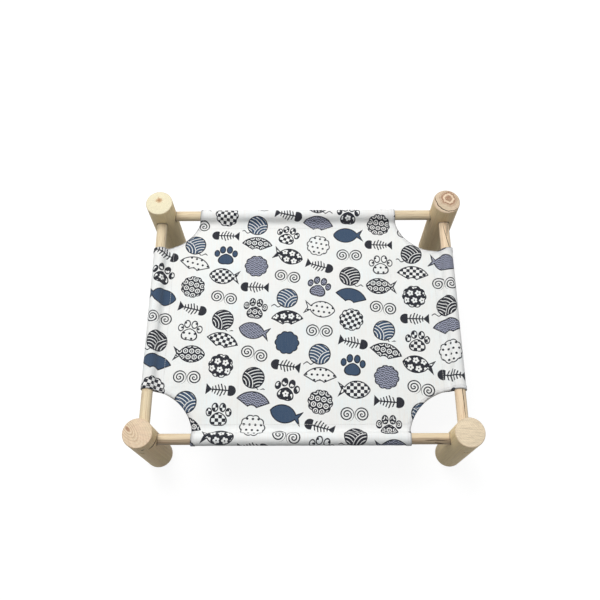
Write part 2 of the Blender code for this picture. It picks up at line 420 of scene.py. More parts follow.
class Timber(Recipe):
    """Softwood as a solid: growth rings about a pith that runs along the grain.

    A point's distance from the pith, bent by slow noise, is divided by the ring pitch.
    Its fraction gives the year's growth: pale, then darker, then pale again. The pith,
    the zones and the seed are in millimetres.
    """

    # For each grain, which of a point's parts run across it twice and then along it
    ORDER = {"X": (1, 2, 0), "Y": (2, 0, 1), "Z": (0, 1, 2)}
    # Noises: scale across and along the grain, axes that the seed shifts, detail, roughness
    SLOW = (0.05, 0.006, "x", 3.0, 0.5)
    FIBRE = (1.1, 0.03, "z", 4.0, 0.62)
    STREAK = (0.35, 0.008, "x", 3.0, 0.65)
    VEIN = (0.42, 0.010, "xy", 2.0, 0.5)
    PORES = (2.4, 0.12, "y", 1.0, 0.5)
    ROUGH = (0.7, 0.02, "y", 3.0, 0.65)
    # What a piece has where its own look doesn't say otherwise
    PLAIN = {
        "oval": (0.0, 1.0),
        "rings": 0.6,
        "blush": 0.2,
        "zones": (),
        "star": 0.4,
        "ragged": 2.0,
        "broken": 1.1,
        "veins": 0.22,
        "streaks": 0.22,
        "tone": 1.0,
        "rays": 0.3,
        "saw": 0.6,
    }

    def __init__(self, name, wood, origin, grain, look):
        super().__init__(name)
        self.wood = wood
        self.look = {**self.PLAIN, **look}
        self.seed = look["seed"]
        parts = self.split(self.object_mm(origin))
        self.x, self.y, self.z = [parts[k] for k in self.ORDER[grain]]
        self.slow = self.drawn_out(*self.SLOW)
        drift = self.noise(self.vector(self.seed, self.z * 0.012, 3.0), detail=1.0)
        off_x = self.x - look["pith"][0] + drift * 4.0
        off_y = self.y - look["pith"][1] + drift * 3.0
        turn, stretch = self.look["oval"]
        self.dx = (off_x * math.cos(turn) + off_y * math.sin(turn)) / stretch
        self.dy = off_y * math.cos(turn) - off_x * math.sin(turn)
        self.from_pith = self.reach(self.dx, self.dy)
        year = ((self.from_pith + self.slow * 3.0) / (wood.ring_pitch / MM)) % 1.0
        self.late = year.rise(0.2, 0.86) * (1.0 - year.rise(0.9, 1.0))
        self.fibre = self.drawn_out(*self.FIBRE)
        self.streak = self.drawn_out(*self.STREAK)

    def drawn_out(self, across, along, shifted, detail, roughness):
        """Noise drawn out along the grain, and shifted by the seed on some axes."""
        parts = [self.x * across, self.y * across, self.z * along]
        for number, axis in enumerate("xyz"):
            if axis in shifted:
                parts[number] = parts[number] + self.seed
        return self.noise(self.vector(*parts), detail=detail, roughness=roughness)

    def round_pith(self, fineness, third, detail, roughness):
        """Noise that changes with the direction from the pith."""
        towards = [part / self.from_pith * fineness for part in (self.dx, self.dy)]
        return self.noise(self.vector(*towards, third), detail=detail, roughness=roughness)

    def grown(self):
        """The rings' colours, with a blush in places."""
        strength = self.look["rings"] * (0.75 + self.streak * 0.9)
        colour = self.blend(self.late * strength, self.wood.early, self.wood.late)
        return self.blend((0.5 + self.slow * 2.0) * self.look["blush"], colour, self.wood.blush)

    def zoned(self, colour):
        """Zones of another colour about the pith: radius, half width, strength and colour. The front rail's
        zone is painted shade.
        """
        look = self.look
        if not look["zones"]:
            return colour
        turn = self.round_pith(1.7, self.seed, 3.0, 0.6)
        rough = self.drawn_out(*self.ROUGH)
        bent = self.from_pith * (1.0 + turn * look["star"]) + self.slow * 2.0 + rough * look["ragged"]
        for radius, half_width, amount, zone_colour in look["zones"]:
            soft = min(half_width * 0.6, 1.0)
            zone = (1.0 - abs(bent - radius).rise(half_width - soft, half_width + soft)) * amount
            broken = 0.72 + 0.28 * self.late + rough * look["broken"]
            colour = self.blend(zone * broken, colour, zone_colour)
        return colour

    def lined(self, colour):
        """Dark grain lines, pale and dark streaks, and fine dark pores."""
        line = (1.0 - abs(self.drawn_out(*self.VEIN)).rise(0.0, 0.03)) * self.look["veins"]
        colour = self.blend(line, colour, self.wood.heart)
        light = 1.0 + self.fibre * 0.20 + self.streak * self.look["streaks"]
        colour = self.shade(colour, light * self.look["tone"])
        fleck = self.drawn_out(*self.PORES).rise(0.22, 0.34) * 0.35
        return self.blend(fleck, colour, self.wood.heart)

    def sawn(self, colour, height, end):
        """A sawn end, where end is 1: rays from the pith, saw marks across and a dark rim."""
        x, y = self.x, self.y
        rays = self.round_pith(9.0, self.from_pith * 0.03 + self.seed, 2.0, 0.5)
        saw = self.noise(self.vector(x * 0.07, y * 0.55 + x * 0.03, self.seed), detail=5.0, roughness=0.7)
        grit = self.noise(self.vector(x * 1.6, y * 1.6, self.seed), detail=2.0)
        marks = rays * self.look["rays"] + saw * self.look["saw"] + grit * 0.35
        rim = self.reach(x, y).rise(POST_RADIUS / MM - 1.5, POST_RADIUS / MM - 0.6) * 0.22
        marked = self.shade(colour, 1.0 + end * marks * 0.42)
        return self.blend(end * rim, marked, self.wood.heart), height + (marks - 0.2) * end * 1.4

    def joint_shadow(self, colour, joint, grain):
        """A painted contact shadow: a thin dark line round the post at each joint."""
        beside = self.x if grain == "X" else self.y
        off = self.reach(abs(self.z) - joint / MM, beside) - POST_RADIUS / MM
        return self.blend((1.0 - off.rise(0.8, 1.8)) * 0.4, colour, self.wood.crack)


def wood_material(name, wood, origin, grain, look, top=None, joint=None):
    """A piece's wood, with a sawn end at a height or a painted contact shadow at joints a distance along
    it.
    """
    r = Timber(name, wood, origin, grain, look)
    colour = r.grown()
    height = r.late * 0.5 + r.fibre * 1.2
    if top is None:
        colour = r.lined(r.zoned(colour))
    else:
        end = r.z.rise(top / MM - 0.9, top / MM - 0.4)
        # The side tint is painted light, brighter and more saturated to stand in for shade on a post's side
        colour = r.blend(end, r.tinted(colour, look["side"]), r.tinted(colour, look["cap"]))
        colour, height = r.sawn(r.lined(r.zoned(colour)), height, end)
    # Painted contact shadow round the post at each joint
    if joint is not None:
        colour = r.joint_shadow(colour, joint, grain)
    roughness = 0.62 + r.fibre * 0.2 - r.late * 0.06
    return r.finish(colour, roughness, height, depth=0.12 * MM, Specular_IOR_Level=0.35)


def crack_material(settings):
    """Painted shade inside a crack, as a dark colour on its raw wood."""
    r = Recipe("crack_shade")
    fibre = r.noise(r.object_mm(), detail=3.0)
    colour = r.blend(0.5 + fibre, settings.crack, tuple(c * 0.5 for c in settings.crack))
    return r.finish(colour, 0.85, fibre, depth=0.2 * MM)


def zinc_material():
    """Zinc-plated steel with a fine turned texture and dull patches."""
    r = Recipe("zinc_plate")
    place = r.object_mm()
    patch = r.noise(place, detail=3.0, scale=0.6)
    fine = r.noise(place, detail=2.0, scale=6.0)
    colour = r.blend(0.5 + patch, (0.66, 0.67, 0.68), (0.48, 0.49, 0.50))
    return r.finish(colour, 0.34 + patch * 0.3, fine, depth=0.02 * MM, Metallic=1.0)


def listed(*arrays):
    """Arrays of faces as one list."""
    return [face for array in arrays for face in array.tolist()]


def unit(vectors):
    """Vectors at a length of one."""
    return vectors / np.linalg.norm(vectors, axis=-1, keepdims=True)


def grid_faces(rows, columns, closed=False):
    """Quads between neighbouring rows of a grid of points, as indices."""
    row = np.arange(rows - 1)[:, None] * columns
    column = np.arange(columns if closed else columns - 1)[None, :]
    after = (column + 1) % columns
    quads = np.stack(
        np.broadcast_arrays(row + column, row + after, row + columns + after, row + columns + column),
        axis=-1,
    )
    return quads.reshape(-1, 4)


def new_piece(name, points, faces, materials, smooth=0.0):
    """A mesh object at the origin, from points in metres and lists of corner numbers.

    Faces that meet at less than the smooth angle, in degrees, are shaded as one surface.
    """
    mesh = bpy.data.meshes.new(name)
    mesh.from_pydata(points.tolist(), [], faces)
    mesh.update()
    for material in materials:
        mesh.materials.append(material)
    if smooth:
        mesh.shade_smooth()
        mesh.set_sharp_from_angle(angle=math.radians(smooth))
    piece = bpy.data.objects.new(name, mesh)
    bpy.context.scene.collection.objects.link(piece)
    return piece


def turned(name, profile, facets, origin, direction, materials):
    """A closed surface of revolution, turned about an axis through the origin point.

    A point is origin + along * h + r * (cos a * side + sin a * up), where (r, h) runs
    along the profile. The profile starts and ends on the axis, at poles.
    """
    profile = np.array(profile, float)
    along = np.array(direction, float)
    up = np.array((0.0, 0.0, 1.0)) if abs(along[2]) < 0.5 else np.array((0.0, 1.0, 0.0))
    side = np.cross(up, along)
    angle = np.linspace(0, 2 * np.pi, facets, endpoint=False)
    spoke = np.cos(angle)[:, None] * side + np.sin(angle)[:, None] * up
    inner = profile[1:-1]
    rings = inner[:, None, 0:1] * spoke[None] + inner[:, None, 1:2] * along
    poles = profile[[0, -1], 1:2] * along
    points = np.concatenate([rings.reshape(-1, 3), poles]) + np.array(origin, float)
    count = len(inner)
    quads = grid_faces(count, facets, closed=True)
    first, last = count * facets, count * facets + 1
    step = np.arange(facets)
    after = (step + 1) % facets
    lower = np.stack([np.full(facets, first), after, step], axis=1)
    base = (count - 1) * facets
    upper = np.stack([np.full(facets, last), base + step, base + after], axis=1)
    return new_piece(name, points, listed(quads, lower, upper), materials, smooth=ROUND_SMOOTH)


def groove(name, path, outward, width, depth, materials):
    """A closed wedge along a path on a surface, to cut a crack with tapered ends.

    At each point its cross-section is a triangle: two shoulders on either side of the
    path and above the surface, and a keel at the crack's depth. Its size follows half a
    sine from end to end, to the power of the taper.
    """
    lift, taper, least = 0.4 * MM, 0.4, 0.04
    travel = unit(np.gradient(path, axis=0))
    across = np.cross(travel, outward)
    share = np.maximum(np.sin(np.linspace(0, np.pi, len(path))) ** taper, least)[:, None]
    left = path + across * width * share / 2 * (1 + lift / depth) + outward * lift
    right = path - across * width * share / 2 * (1 + lift / depth) + outward * lift
    keel = path - outward * depth * share
    points = np.stack([left, right, keel], axis=1).reshape(-1, 3)
    quads = grid_faces(len(path), 3, closed=True)
    last = (len(path) - 1) * 3
    ends = np.array([[2, 1, 0], [last, last + 1, last + 2]])
    tool = new_piece(name, points, listed(quads, ends), materials)
    tool.data.polygons.foreach_set("material_index", np.full(len(tool.data.polygons), CRACK_SLOT))
    fix_normals(tool)
    return tool


def fix_normals(piece):
    """Turns every face of a closed mesh outwards."""
    work = bmesh.new()
    work.from_mesh(piece.data)
    bmesh.ops.recalc_face_normals(work, faces=work.faces)
    work.to_mesh(piece.data)
    work.free()


def cut(piece, tools):
    """Cuts closed tools out of a piece, and removes the tools."""
    for tool in tools:
        modifier = piece.modifiers.new(tool.name, "BOOLEAN")
        modifier.operation = "DIFFERENCE"
        modifier.solver = "EXACT"
        modifier.object = tool
    bpy.context.view_layer.update()
    graph = bpy.context.evaluated_depsgraph_get()
    mesh = bpy.data.meshes.new_from_object(piece.evaluated_get(graph))
    if not mesh.polygons:
        raise RuntimeError(f"{piece.name}: nothing is left of it after its cuts")
    piece.modifiers.clear()
    piece.data = mesh
    for tool in tools:
        bpy.data.objects.remove(tool)
    mesh.shade_smooth()
    mesh.set_sharp_from_angle(angle=math.radians(ROUND_SMOOTH))


def rounded_end(radius, height, edge, towards):
    """Profile points of a rod's rounded edge, a quarter circle from its flat end to its side."""
    angle = np.linspace(0, np.pi / 2, EDGE_POINTS)
    r = radius - edge + edge * np.sin(angle)
    h = height - towards * edge * (1 - np.cos(angle))
    return list(zip(r, h))


def joint_tool(name, height, corner, direction, wood, materials):
    """The hollow of one joint: screw-head seat, screw hole and the rail's blind socket."""
    wide = RAIL_RADIUS + wood.socket_gap
    head = SCREW_HEAD_RADIUS + FIT_GAP
    seat = -SCREW_TOP + HEAD_RIM + FIT_GAP
    floor = POST_RADIUS - wood.socket_depth
    clear = POST_RADIUS * 1.5
    profile = [
        (0, -clear),
        (head, -clear),
        (head, seat),
        (wood.pilot_radius, seat + head - wood.pilot_radius),
        (wood.pilot_radius, floor),
        (wide, floor),
        (wide, clear),
        (0, clear),
    ]
    side, end = corner
    origin = (side * RAIL_X, end * RAIL_Y, height)
    return turned(name, profile, HOLE_FACETS, origin, direction, materials)


def top_middle(corner):
    """The middle of a post's top."""
    return np.array((corner[0] * RAIL_X, corner[1] * RAIL_Y, POST_HEIGHT))


def on_post(corner, degrees, below):
    """A path on a post's side and its outward direction: angles from +X, and mm below the top."""
    a = np.radians(degrees)
    outward = np.stack([np.cos(a), np.sin(a), 0 * a], axis=-1)
    down = np.array((0, 0, 1.0)) * below[:, None] * MM
    return top_middle(corner) + outward * POST_RADIUS - down, outward


def side_cracks(corner, materials):
    """Cutters for a long drying crack round a post's side, and a short mark above it.

    The crack's angle and depth below the top grow evenly, and two sines make it wander.
    The mark's depth is half a sine.
    """
    t = np.linspace(0, 1, 40)
    wander = 0.5 * np.sin(t * 9.0) + 0.25 * np.sin(t * 23.0)
    long_way = on_post(corner, -57 + 66 * t, 25.0 + 5.0 * t + wander)
    t = np.linspace(0, 1, 12)
    short_way = on_post(corner, -81 + 14 * t, 17.6 - 0.9 * np.sin(np.pi * t))
    return [
        groove("side_crack", *long_way, 3.6 * MM, 4.0 * MM, materials),
        groove("side_mark", *short_way, 2.8 * MM, 2.1 * MM, materials),
    ]


def ring_shake(corner, materials):
    """The cutter for a crack between two rings of a post's top.

    Its distance from the middle is read from a few bends by its angle, evened out, with
    a small sine.
    """
    bends = ((150, 168, 186, 234, 268, 302, 326), (20.9, 17.6, 15.9, 15.0, 17.2, 18.8, 20.9))
    evened = 9
    degrees = np.linspace(150, 326, 70)
    a = np.radians(degrees)
    reach = np.pad(np.interp(degrees, *bends), evened // 2, mode="edge")
    reach = np.convolve(reach, np.ones(evened) / evened, mode="valid") + 0.25 * np.sin(a * 11.0)
    path = top_middle(corner) + np.stack([np.cos(a) * reach, np.sin(a) * reach, 0 * a], axis=-1) * MM
    outward = np.tile((0.0, 0.0, 1.0), (len(a), 1))
    return [groove("ring_shake", path, outward, 1.4 * MM, 1.8 * MM, materials)]


POST_CRACKS = {"front_left": side_cracks, "back_right": ring_shake}


HEART = srgb(*HEART_RGB)
# What sets each post's wood apart. A zone is its radius, half width, strength and colour. The side tint is
# painted light: it brightens and saturates a post's turned side to stand in for its shade
POST_LOOKS = {
    "front_left": {
        "pith": (-13.4, 5.9),
        "seed": 11.3,
        "oval": (-0.85, 2.2),
        "zones": (
            (0.0, 1.9, 1.0, HEART),
            (4.2, 0.5, 0.4, HEART),
            (6.6, 0.45, 0.35, HEART),
            (9.4, 0.5, 0.3, HEART),
        ),
        "star": 0.3,
        "ragged": 0.8,
        "blush": 0.55,
        "rings": 0.8,
        "rays": 0.8,
        "saw": 0.9,
        "tone": 0.97,
        "cap": (1.03, 1.02, 1.04),
        "side": (1.15, 1.11, 0.94),
    },
    "front_right": {
        "pith": (34.0, 30.0),
        "seed": 4.7,
        "blush": 0.05,
        "rings": 0.45,
        "rays": 0.1,
        "saw": 2.2,
        "tone": 0.97,
        "cap": (1.11, 1.11, 1.17),
        "side": (1.24, 1.17, 0.98),
    },
    "back_left": {
        "pith": (-0.5, 5.0),
        "seed": 27.9,
        "zones": (
            (0.0, 5.8, 0.3, srgb(226, 190, 140)),
            (0.0, 4.4, 0.8, srgb(176, 132, 88)),
            (0.0, 1.8, 1.0, srgb(166, 118, 76)),
        ),
        "star": 1.5,
        "ragged": 4.0,
        "blush": 0.0,
        "rings": 0.25,
        "rays": 0.2,
        "saw": 0.6,
        "tone": 1.0,
        "cap": (1.07, 1.17, 1.22),
        "side": (1.17, 1.12, 0.95),
    },
    "back_right": {
        "pith": (3.6, 6.4),
        "seed": 40.2,
        "zones": (
            (5.6, 7.4, 0.32, HEART),
            (0.0, 5.2, 0.85, srgb(150, 104, 76)),
            (7.4, 1.3, 0.85, srgb(246, 222, 192)),
            (10.2, 1.2, 0.9, HEART),
            (14.0, 0.7, 0.4, HEART),
        ),
        "star": 0.7,
        "ragged": 7.0,
        "blush": 0.3,
        "rings": 0.7,
        "rays": 0.5,
        "saw": 0.5,
        "broken": 5.0,
        "tone": 1.0,
        "cap": (0.90, 0.88, 0.92),
        "side": (1.08, 1.04, 0.90),
    },
}


def post_profile(edge):
    """A post's outline, from the middle of its foot up to the middle of its top."""
    foot = rounded_end(POST_RADIUS, 0.0, edge, -1)
    head = rounded_end(POST_RADIUS, POST_HEIGHT, edge, 1)[::-1]
    heights = np.linspace(foot[-1][1], head[0][1], POST_RINGS)[1:-1]
    return [(0, 0), *foot, *[(POST_RADIUS, h) for h in heights], *head, (0, POST_HEIGHT)]


class COT_OT_posts(bpy.types.Operator):
    """Turn the four posts and cut their sockets, screw holes and cracks"""

    bl_idname = "cot.posts"
    bl_label = "Posts"
    bl_options = {"REGISTER", "UNDO"}

    def execute(self, context):
        cot = context.scene.cot
        crack = crack_material(cot.wood)
        profile = post_profile(cot.wood.edge_radius)
        for name, corner in CORNERS.items():
            side, end = corner
            origin = (side * RAIL_X, end * RAIL_Y, 0.0)
            look = POST_LOOKS[name]
            wood = wood_material(f"post_wood_{name}", cot.wood, origin, "Z", look, top=POST_HEIGHT)
            materials = [wood, crack]
            post = turned(f"turned_post_{name}", profile, cot.facets, origin, (0, 0, 1), materials)
            tools = [
                joint_tool("long_joint", END_RAIL_Z, corner, (-side, 0, 0), cot.wood, materials),
                joint_tool("short_joint", SIDE_RAIL_Z, corner, (0, -end, 0), cot.wood, materials),
            ]
            if name in POST_CRACKS:
                tools += POST_CRACKS[name](corner, materials)
            cut(post, tools)
            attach(post, "root")
            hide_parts(f"post_{name}")
        return {"FINISHED"}


# Where each rail is, and what sets its wood apart. The front rail's zone is painted shade
RAILS = {
    "front": {
        "place": (0, -1),
        "seed": 3.1,
        "pith": (-14.0, -8.0),
        # Painted shade: a zone that darkens the rail's lower front, away from the light
        "zones": ((8.0, 13.0, 0.78, srgb(158, 136, 112)),),
        "star": 0.0,
        "ragged": 0.6,
        "blush": 0.2,
        "rings": 0.35,
    },
    "back": {"place": (0, 1), "seed": 17.7, "pith": (-8.0, -9.0), "blush": 0.1, "rings": 0.35},
    "left": {"place": (-1, 0), "seed": 29.4, "pith": (6.0, 10.0), "blush": 0.0, "rings": 0.4},
    "right": {
        "place": (1, 0),
        "seed": 52.6,
        "pith": (-12.0, 3.0),
        "blush": 0.6,
        "rings": 0.35,
        "tone": 1.10,
    },
}
EVERY_RAIL = {"veins": 0.42, "streaks": 0.34}


def rail_centre(name):
    """The middle of a rail."""
    x, y = RAILS[name]["place"]
    return np.array((x * RAIL_X, y * RAIL_Y, SIDE_RAIL_Z if x else END_RAIL_Z))


def on_rail(name, lean, along):
    """A path on a rail and its outward direction: degrees outwards from its top, and metres along."""
    x, y = RAILS[name]["place"]
    lean = np.radians(lean)[:, None]
    outward = np.sin(lean) * (x, y, 0.0) + np.cos(lean) * (0.0, 0.0, 1.0)
    direction = np.array(AXES["Y" if x else "X"])
    return rail_centre(name) + along[:, None] * direction + outward * RAIL_RADIUS, outward


def right_grooves(half, materials):
    """Cutters for the long groove of the right rail, and its branch.

    The groove's lean is read from a few bends along the rail, with two small sines. The
    branch's lean falls evenly.
    """
    t = np.linspace(0, 1, 110)
    bends = ((0, 0.14, 0.5, 0.86, 0.9, 0.94, 1), (17, 15, 12, 30, 10, -6, -26))
    lean = np.interp(t, *bends) + 1.2 * np.sin(t * 31.0) + 0.8 * np.sin(t * 83.0)
    long_way = on_rail("right", lean, (t * 2 - 1) * (half - 13 * MM))
    t = np.linspace(0, 1, 30)
    branch = on_rail("right", 30 - 19 * t, half - 14 * MM - 24 * MM * t)
    return [
        groove("long_groove", *long_way, 1.9 * MM, 1.7 * MM, materials),
        groove("branch_groove", *branch, 1.3 * MM, 1.1 * MM, materials),
    ]


def front_grooves(half, materials):
    """Cutters for two short grooves near the front rail's right end.

    Their lean grows evenly along the rail, with a small sine.
    """
    t = np.linspace(0, 1, 30)
    tools = []
    for label, first, run, low, turn, width in (
        ("end_groove", 34, 18, 50, 42, 1.9),
        ("end_line", 48, 36, 26, 3, 1.1),
    ):
        way = on_rail("front", low + turn * t + 1.5 * np.sin(t * 11.0), half - first * MM + run * MM * t)
        tools.append(groove(label, *way, width * MM, 1.3 * MM, materials))
    return tools


RAIL_GROOVES = {"right": right_grooves, "front": front_grooves}


def rail_profile(half, wood):
    """A rail's outline along its axis, with a pilot hole in each end."""
    floor = half - wood.pilot_depth
    outer = rounded_end(RAIL_RADIUS, half, RAIL_EDGE, 1)[::-1]
    lengths = np.linspace(-outer[0][1], outer[0][1], RAIL_RINGS)[1:-1]
    end = [*outer, (wood.pilot_radius, half), (wood.pilot_radius, floor), (0, floor)]
    start = [(r, -h) for r, h in end][::-1]
    return [*start, *[(RAIL_RADIUS, h) for h in lengths], *end]


class COT_OT_rails(bpy.types.Operator):
    """Turn the four rails, with a pilot hole in each end"""

    bl_idname = "cot.rails"
    bl_label = "Rails"
    bl_options = {"REGISTER", "UNDO"}

    def execute(self, context):
        wood = context.scene.cot.wood
        crack = bpy.data.materials.get("crack_shade") or crack_material(wood)
        for name, rail in RAILS.items():
            centre = rail_centre(name)
            grain, joint = ("Y", RAIL_Y) if rail["place"][0] else ("X", RAIL_X)
            look = {**rail, **EVERY_RAIL}
            grown = wood_material(f"rail_wood_{name}", wood, centre, grain, look, joint=joint)
            half = max(extent(f"rail_{name}")) / 2
            materials = [grown, crack]
            profile = rail_profile(half, wood)
            piece = turned(f"dowel_{name}", profile, RAIL_FACETS, centre, AXES[grain], materials)
            if name in RAIL_GROOVES:
                cut(piece, RAIL_GROOVES[name](half, materials))
            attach(piece, "root")
            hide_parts(f"rail_{name}")
        return {"FINISHED"}


class COT_OT_screws(bpy.types.Operator):
    """Give the eight screws their zinc finish"""

    bl_idname = "cot.screws"
    bl_label = "Screws"
    bl_options = {"REGISTER", "UNDO"}

    def execute(self, context):
        zinc = zinc_material()
        for name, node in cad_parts.items():
            if name.startswith("screw_"):
                node.data.materials.clear()
                node.data.materials.append(zinc)
        return {"FINISHED"}


# How far each cut-out's middle has slipped off its post's axis, in millimetres
LIE = {
    "front_left": (-2.0, 1.5),
    "front_right": (-5.5, 0.0),
    "back_left": (-8.0, 5.0),
    "back_right": (-8.5, 2.0),
}


class Drape:
    """The hung canvas: where each point of the flat cloth is.

    The cut-outs are quarter rounds. The canvas has slipped a little along its rails, so
    each one's middle lies some millimetres from its post's axis, as LIE gives.

    s runs across the cot and t runs from front to back, in metres from the middle of the
    flat cloth. Past a seam, the distance from the seam runs up over the rail, round it
    and back under to the seam. Heights are off the cloth's middle, towards its print.
    """

    # Steps of the sleeve's table and of the slopes, the table's level ends, and its bend
    STEP = 0.2 * MM
    SLOPE_STEP = 0.5 * MM
    LEAD = 4.0 * MM
    BEND_REACH = 8.0 * MM
    BEND_POINTS = 12
    ARC_POINTS = 60
    EVENED = 7
    # How far a flap lies below its seam, in thicknesses of canvas
    FLAP_DROP = 2.25
    # The droop beside a rail: how steeply it falls and how slowly it comes back
    DROOP_FALL = 3.2 * MM
    DROOP_RETURN = 60 * MM
    # Waves of the panel, their shortest and longest, and their height by their length
    WAVES = 16
    WAVE_LENGTHS = (38 * MM, 120 * MM)
    WAVE_HEIGHT = 0.0016
    CALM_NEAR_SEAM = 30 * MM
    # Puckers on a seam, tucks and swells inside it, and folds from a sleeve's ends
    PUCKER_HEIGHT = 0.22 * MM
    PUCKER_WIDTH = 6 * MM
    TUCK_OFF = 7 * MM
    FOLD_HEIGHT = 0.55 * MM
    FOLD_REACH = 34 * MM
    FOLD_START = 67 * MM
    FOLD_FLAT = 14 * MM
    # The canvas on a rail: how soon it lies on it, how far a hem lifts it, and over which width
    ON_RAIL_AFTER = 12 * MM
    HEM_LIFT = 0.65 * MM
    HEM_STEP = 2.5 * MM
    # The rim of a cut-out rolls down
    ROLL_WIDTH = 3.6 * MM
    ROLL_DROP = 1.9 * MM
    # Less light comes through a hem or sleeve, and a cut-out's rim gets painted shade this far in
    SHADE_EDGE = 0.8 * MM
    SHADE_INSIDE = 2.0 * MM
    HEM_SHADE = 0.4
    SLEEVE_SHADE = 0.15
    RIM_SHADE_FULL = 1.1 * MM
    RIM_SHADE_FADE = 1.5 * MM

    def __init__(self, sling):
        self.sling = sling
        self.seam_s = RAIL_X - sling.seam_reach
        self.seam_t = RAIL_Y - sling.seam_reach
        self.make_profile()
        shortest, longest = self.WAVE_LENGTHS
        self.waves = np.random.default_rng(11).uniform(
            (0.0, shortest, 0.0), (np.pi, longest, 2 * np.pi), (self.WAVES, 3)
        )

    def make_profile(self):
        """The sleeve's cross-section as a table of points at equal steps.

        Level over the seam, a short bend up to the rail's inner side, an arc round the
        rail, a straight run back and a level flap under the seam, with the kinks softened.
        """
        sling = self.sling
        radius = RAIL_RADIUS + sling.sleeve_gap + sling.thickness / 2
        reach = sling.seam_reach
        lap = self.FLAP_DROP * sling.thickness
        start = sling.cling
        toe = radius / math.cos(start)
        first_on_rail = (radius * math.cos(start), radius * math.sin(start))
        knots = np.array([(toe - self.BEND_REACH, 0.0), (toe, 0.0), first_on_rail])
        share = np.linspace(0, 1, self.BEND_POINTS)[:, None]
        bend = (1 - share) ** 2 * knots[0] + 2 * share * (1 - share) * knots[1] + share**2 * knots[2]
        finish = -(math.pi - math.atan2(lap, reach) - math.acos(radius / math.hypot(reach, lap)))
        angles = np.linspace(start, finish, self.ARC_POINTS)[1:]
        arc = [(radius * math.cos(a), radius * math.sin(a)) for a in angles]
        corners = [
            (-reach - self.LEAD, 0.0),
            (-reach, 0.0),
            *bend,
            *arc,
            (-reach, -lap),
            (-reach - sling.flap_lap - self.LEAD, -lap),
        ]
        corners = np.array(corners)
        lengths = lengths_along(corners)
        self.past_seam = lengths[-1] - 2 * self.LEAD
        at = np.arange(0, lengths[-1], self.STEP)
        line = np.stack([np.interp(at, lengths, corners[:, k]) for k in (0, 1)], axis=1)
        kernel = np.ones(self.EVENED) / self.EVENED
        padded = np.pad(line, ((self.EVENED // 2,) * 2, (0, 0)), mode="reflect", reflect_type="odd")
        line = np.stack([np.convolve(padded[:, k], kernel, mode="valid") for k in (0, 1)], axis=1)
        tangent = unit(np.gradient(line, axis=0))
        self.table_at = at - self.LEAD
        self.table = np.concatenate([line, -tangent[:, 1:], tangent[:, :1]], axis=1)

    def sleeve(self, past):
        """Distance outwards from the rail's axis, height, and the normal's two parts."""
        first = self.table_at[0]
        values = [np.interp(past, self.table_at, self.table[:, k]) for k in range(4)]
        values[0] = values[0] + np.minimum(past - first, 0.0)
        return values

    def base_height(self, x, y):
        """The panel's height: each seam's own level, blended, less the sag and the droop.

        The droop falls away steeply beside each rail and slowly comes back up inwards.
        """
        u = np.clip(np.abs(x) / self.seam_s, 0, 1)
        v = np.clip(np.abs(y) / self.seam_t, 0, 1)
        across, along = 1 - u * u, 1 - v * v
        blend = along / np.maximum(across + along, 1e-6)
        level = SIDE_RAIL_Z * blend + END_RAIL_Z * (1 - blend) - self.sling.sag * across * along
        beside = RAIL_RADIUS + self.sling.sleeve_gap + self.sling.thickness / 2
        in_x = np.maximum(RAIL_X - np.abs(x) - beside, 0)
        in_y = np.maximum(RAIL_Y - np.abs(y) - beside, 0)
        fall = (1 - np.exp(-in_x / self.DROOP_FALL)) * (1 - np.exp(-in_y / self.DROOP_FALL))
        return level - self.sling.droop * fall * np.exp(-np.minimum(in_x, in_y) / self.DROOP_RETURN)

    def cut_middle(self, name):
        """The middle of a corner's cut-out, measured from the cot's middle outwards."""
        side, end = CORNERS[name]
        return RAIL_X + side * LIE[name][0] * MM, RAIL_Y + end * LIE[name][1] * MM

    def from_edge(self, x, y):
        """How far a point in plan is from the rim of its corner's cut-out, inwards."""
        edge = np.full(np.shape(x), 1.0)
        for name, (side, end) in CORNERS.items():
            cx, cy = self.cut_middle(name)
            here = (x * side >= 0) & (y * end >= 0)
            edge = np.where(here, np.hypot(np.abs(x) - cx, np.abs(y) - cy) - self.sling.corner_radius, edge)
        return edge

    def edge_at(self, s, t):
        """How far a cloth point is from the rim of its corner's cut-out, inwards."""
        points = self.place(s, t, 0.0)
        return self.from_edge(points[..., 0], points[..., 1])

    def past_seams(self, s, t):
        """How far a cloth point lies past the nearer seam, outwards."""
        return np.maximum(np.abs(s) - self.seam_s, np.abs(t) - self.seam_t)

    def layer_shade(self, s, t):
        """How much painted shade a point gets where hems and sleeves lay canvas over another layer."""
        off = self.edge_at(s, t) - self.sling.hem_width
        hem = 1 - np.clip(off / self.SHADE_EDGE + 0.5, 0, 1)
        sleeve = np.clip((self.past_seams(s, t) + self.SHADE_INSIDE) / self.SHADE_EDGE + 0.5, 0, 1)
        return np.maximum(self.HEM_SHADE * hem, self.SLEEVE_SHADE * sleeve)

    def rim_shade(self, s, t):
        """1 along the rims of the cut-outs, whose rolled edge gets painted shade, and 0 elsewhere."""
        return 1 - np.clip((self.edge_at(s, t) - self.RIM_SHADE_FULL) / self.RIM_SHADE_FADE, 0, 1)

    def soft_waves(self, s, t):
        """The panel's waves: a sine along each one's direction, the longer the higher."""
        soft = np.zeros_like(s)
        for angle, length, phase in self.waves:
            along = s * np.cos(angle) + t * np.sin(angle)
            soft += length * np.sin(2 * np.pi * along / length + phase)
        return soft * self.WAVE_HEIGHT

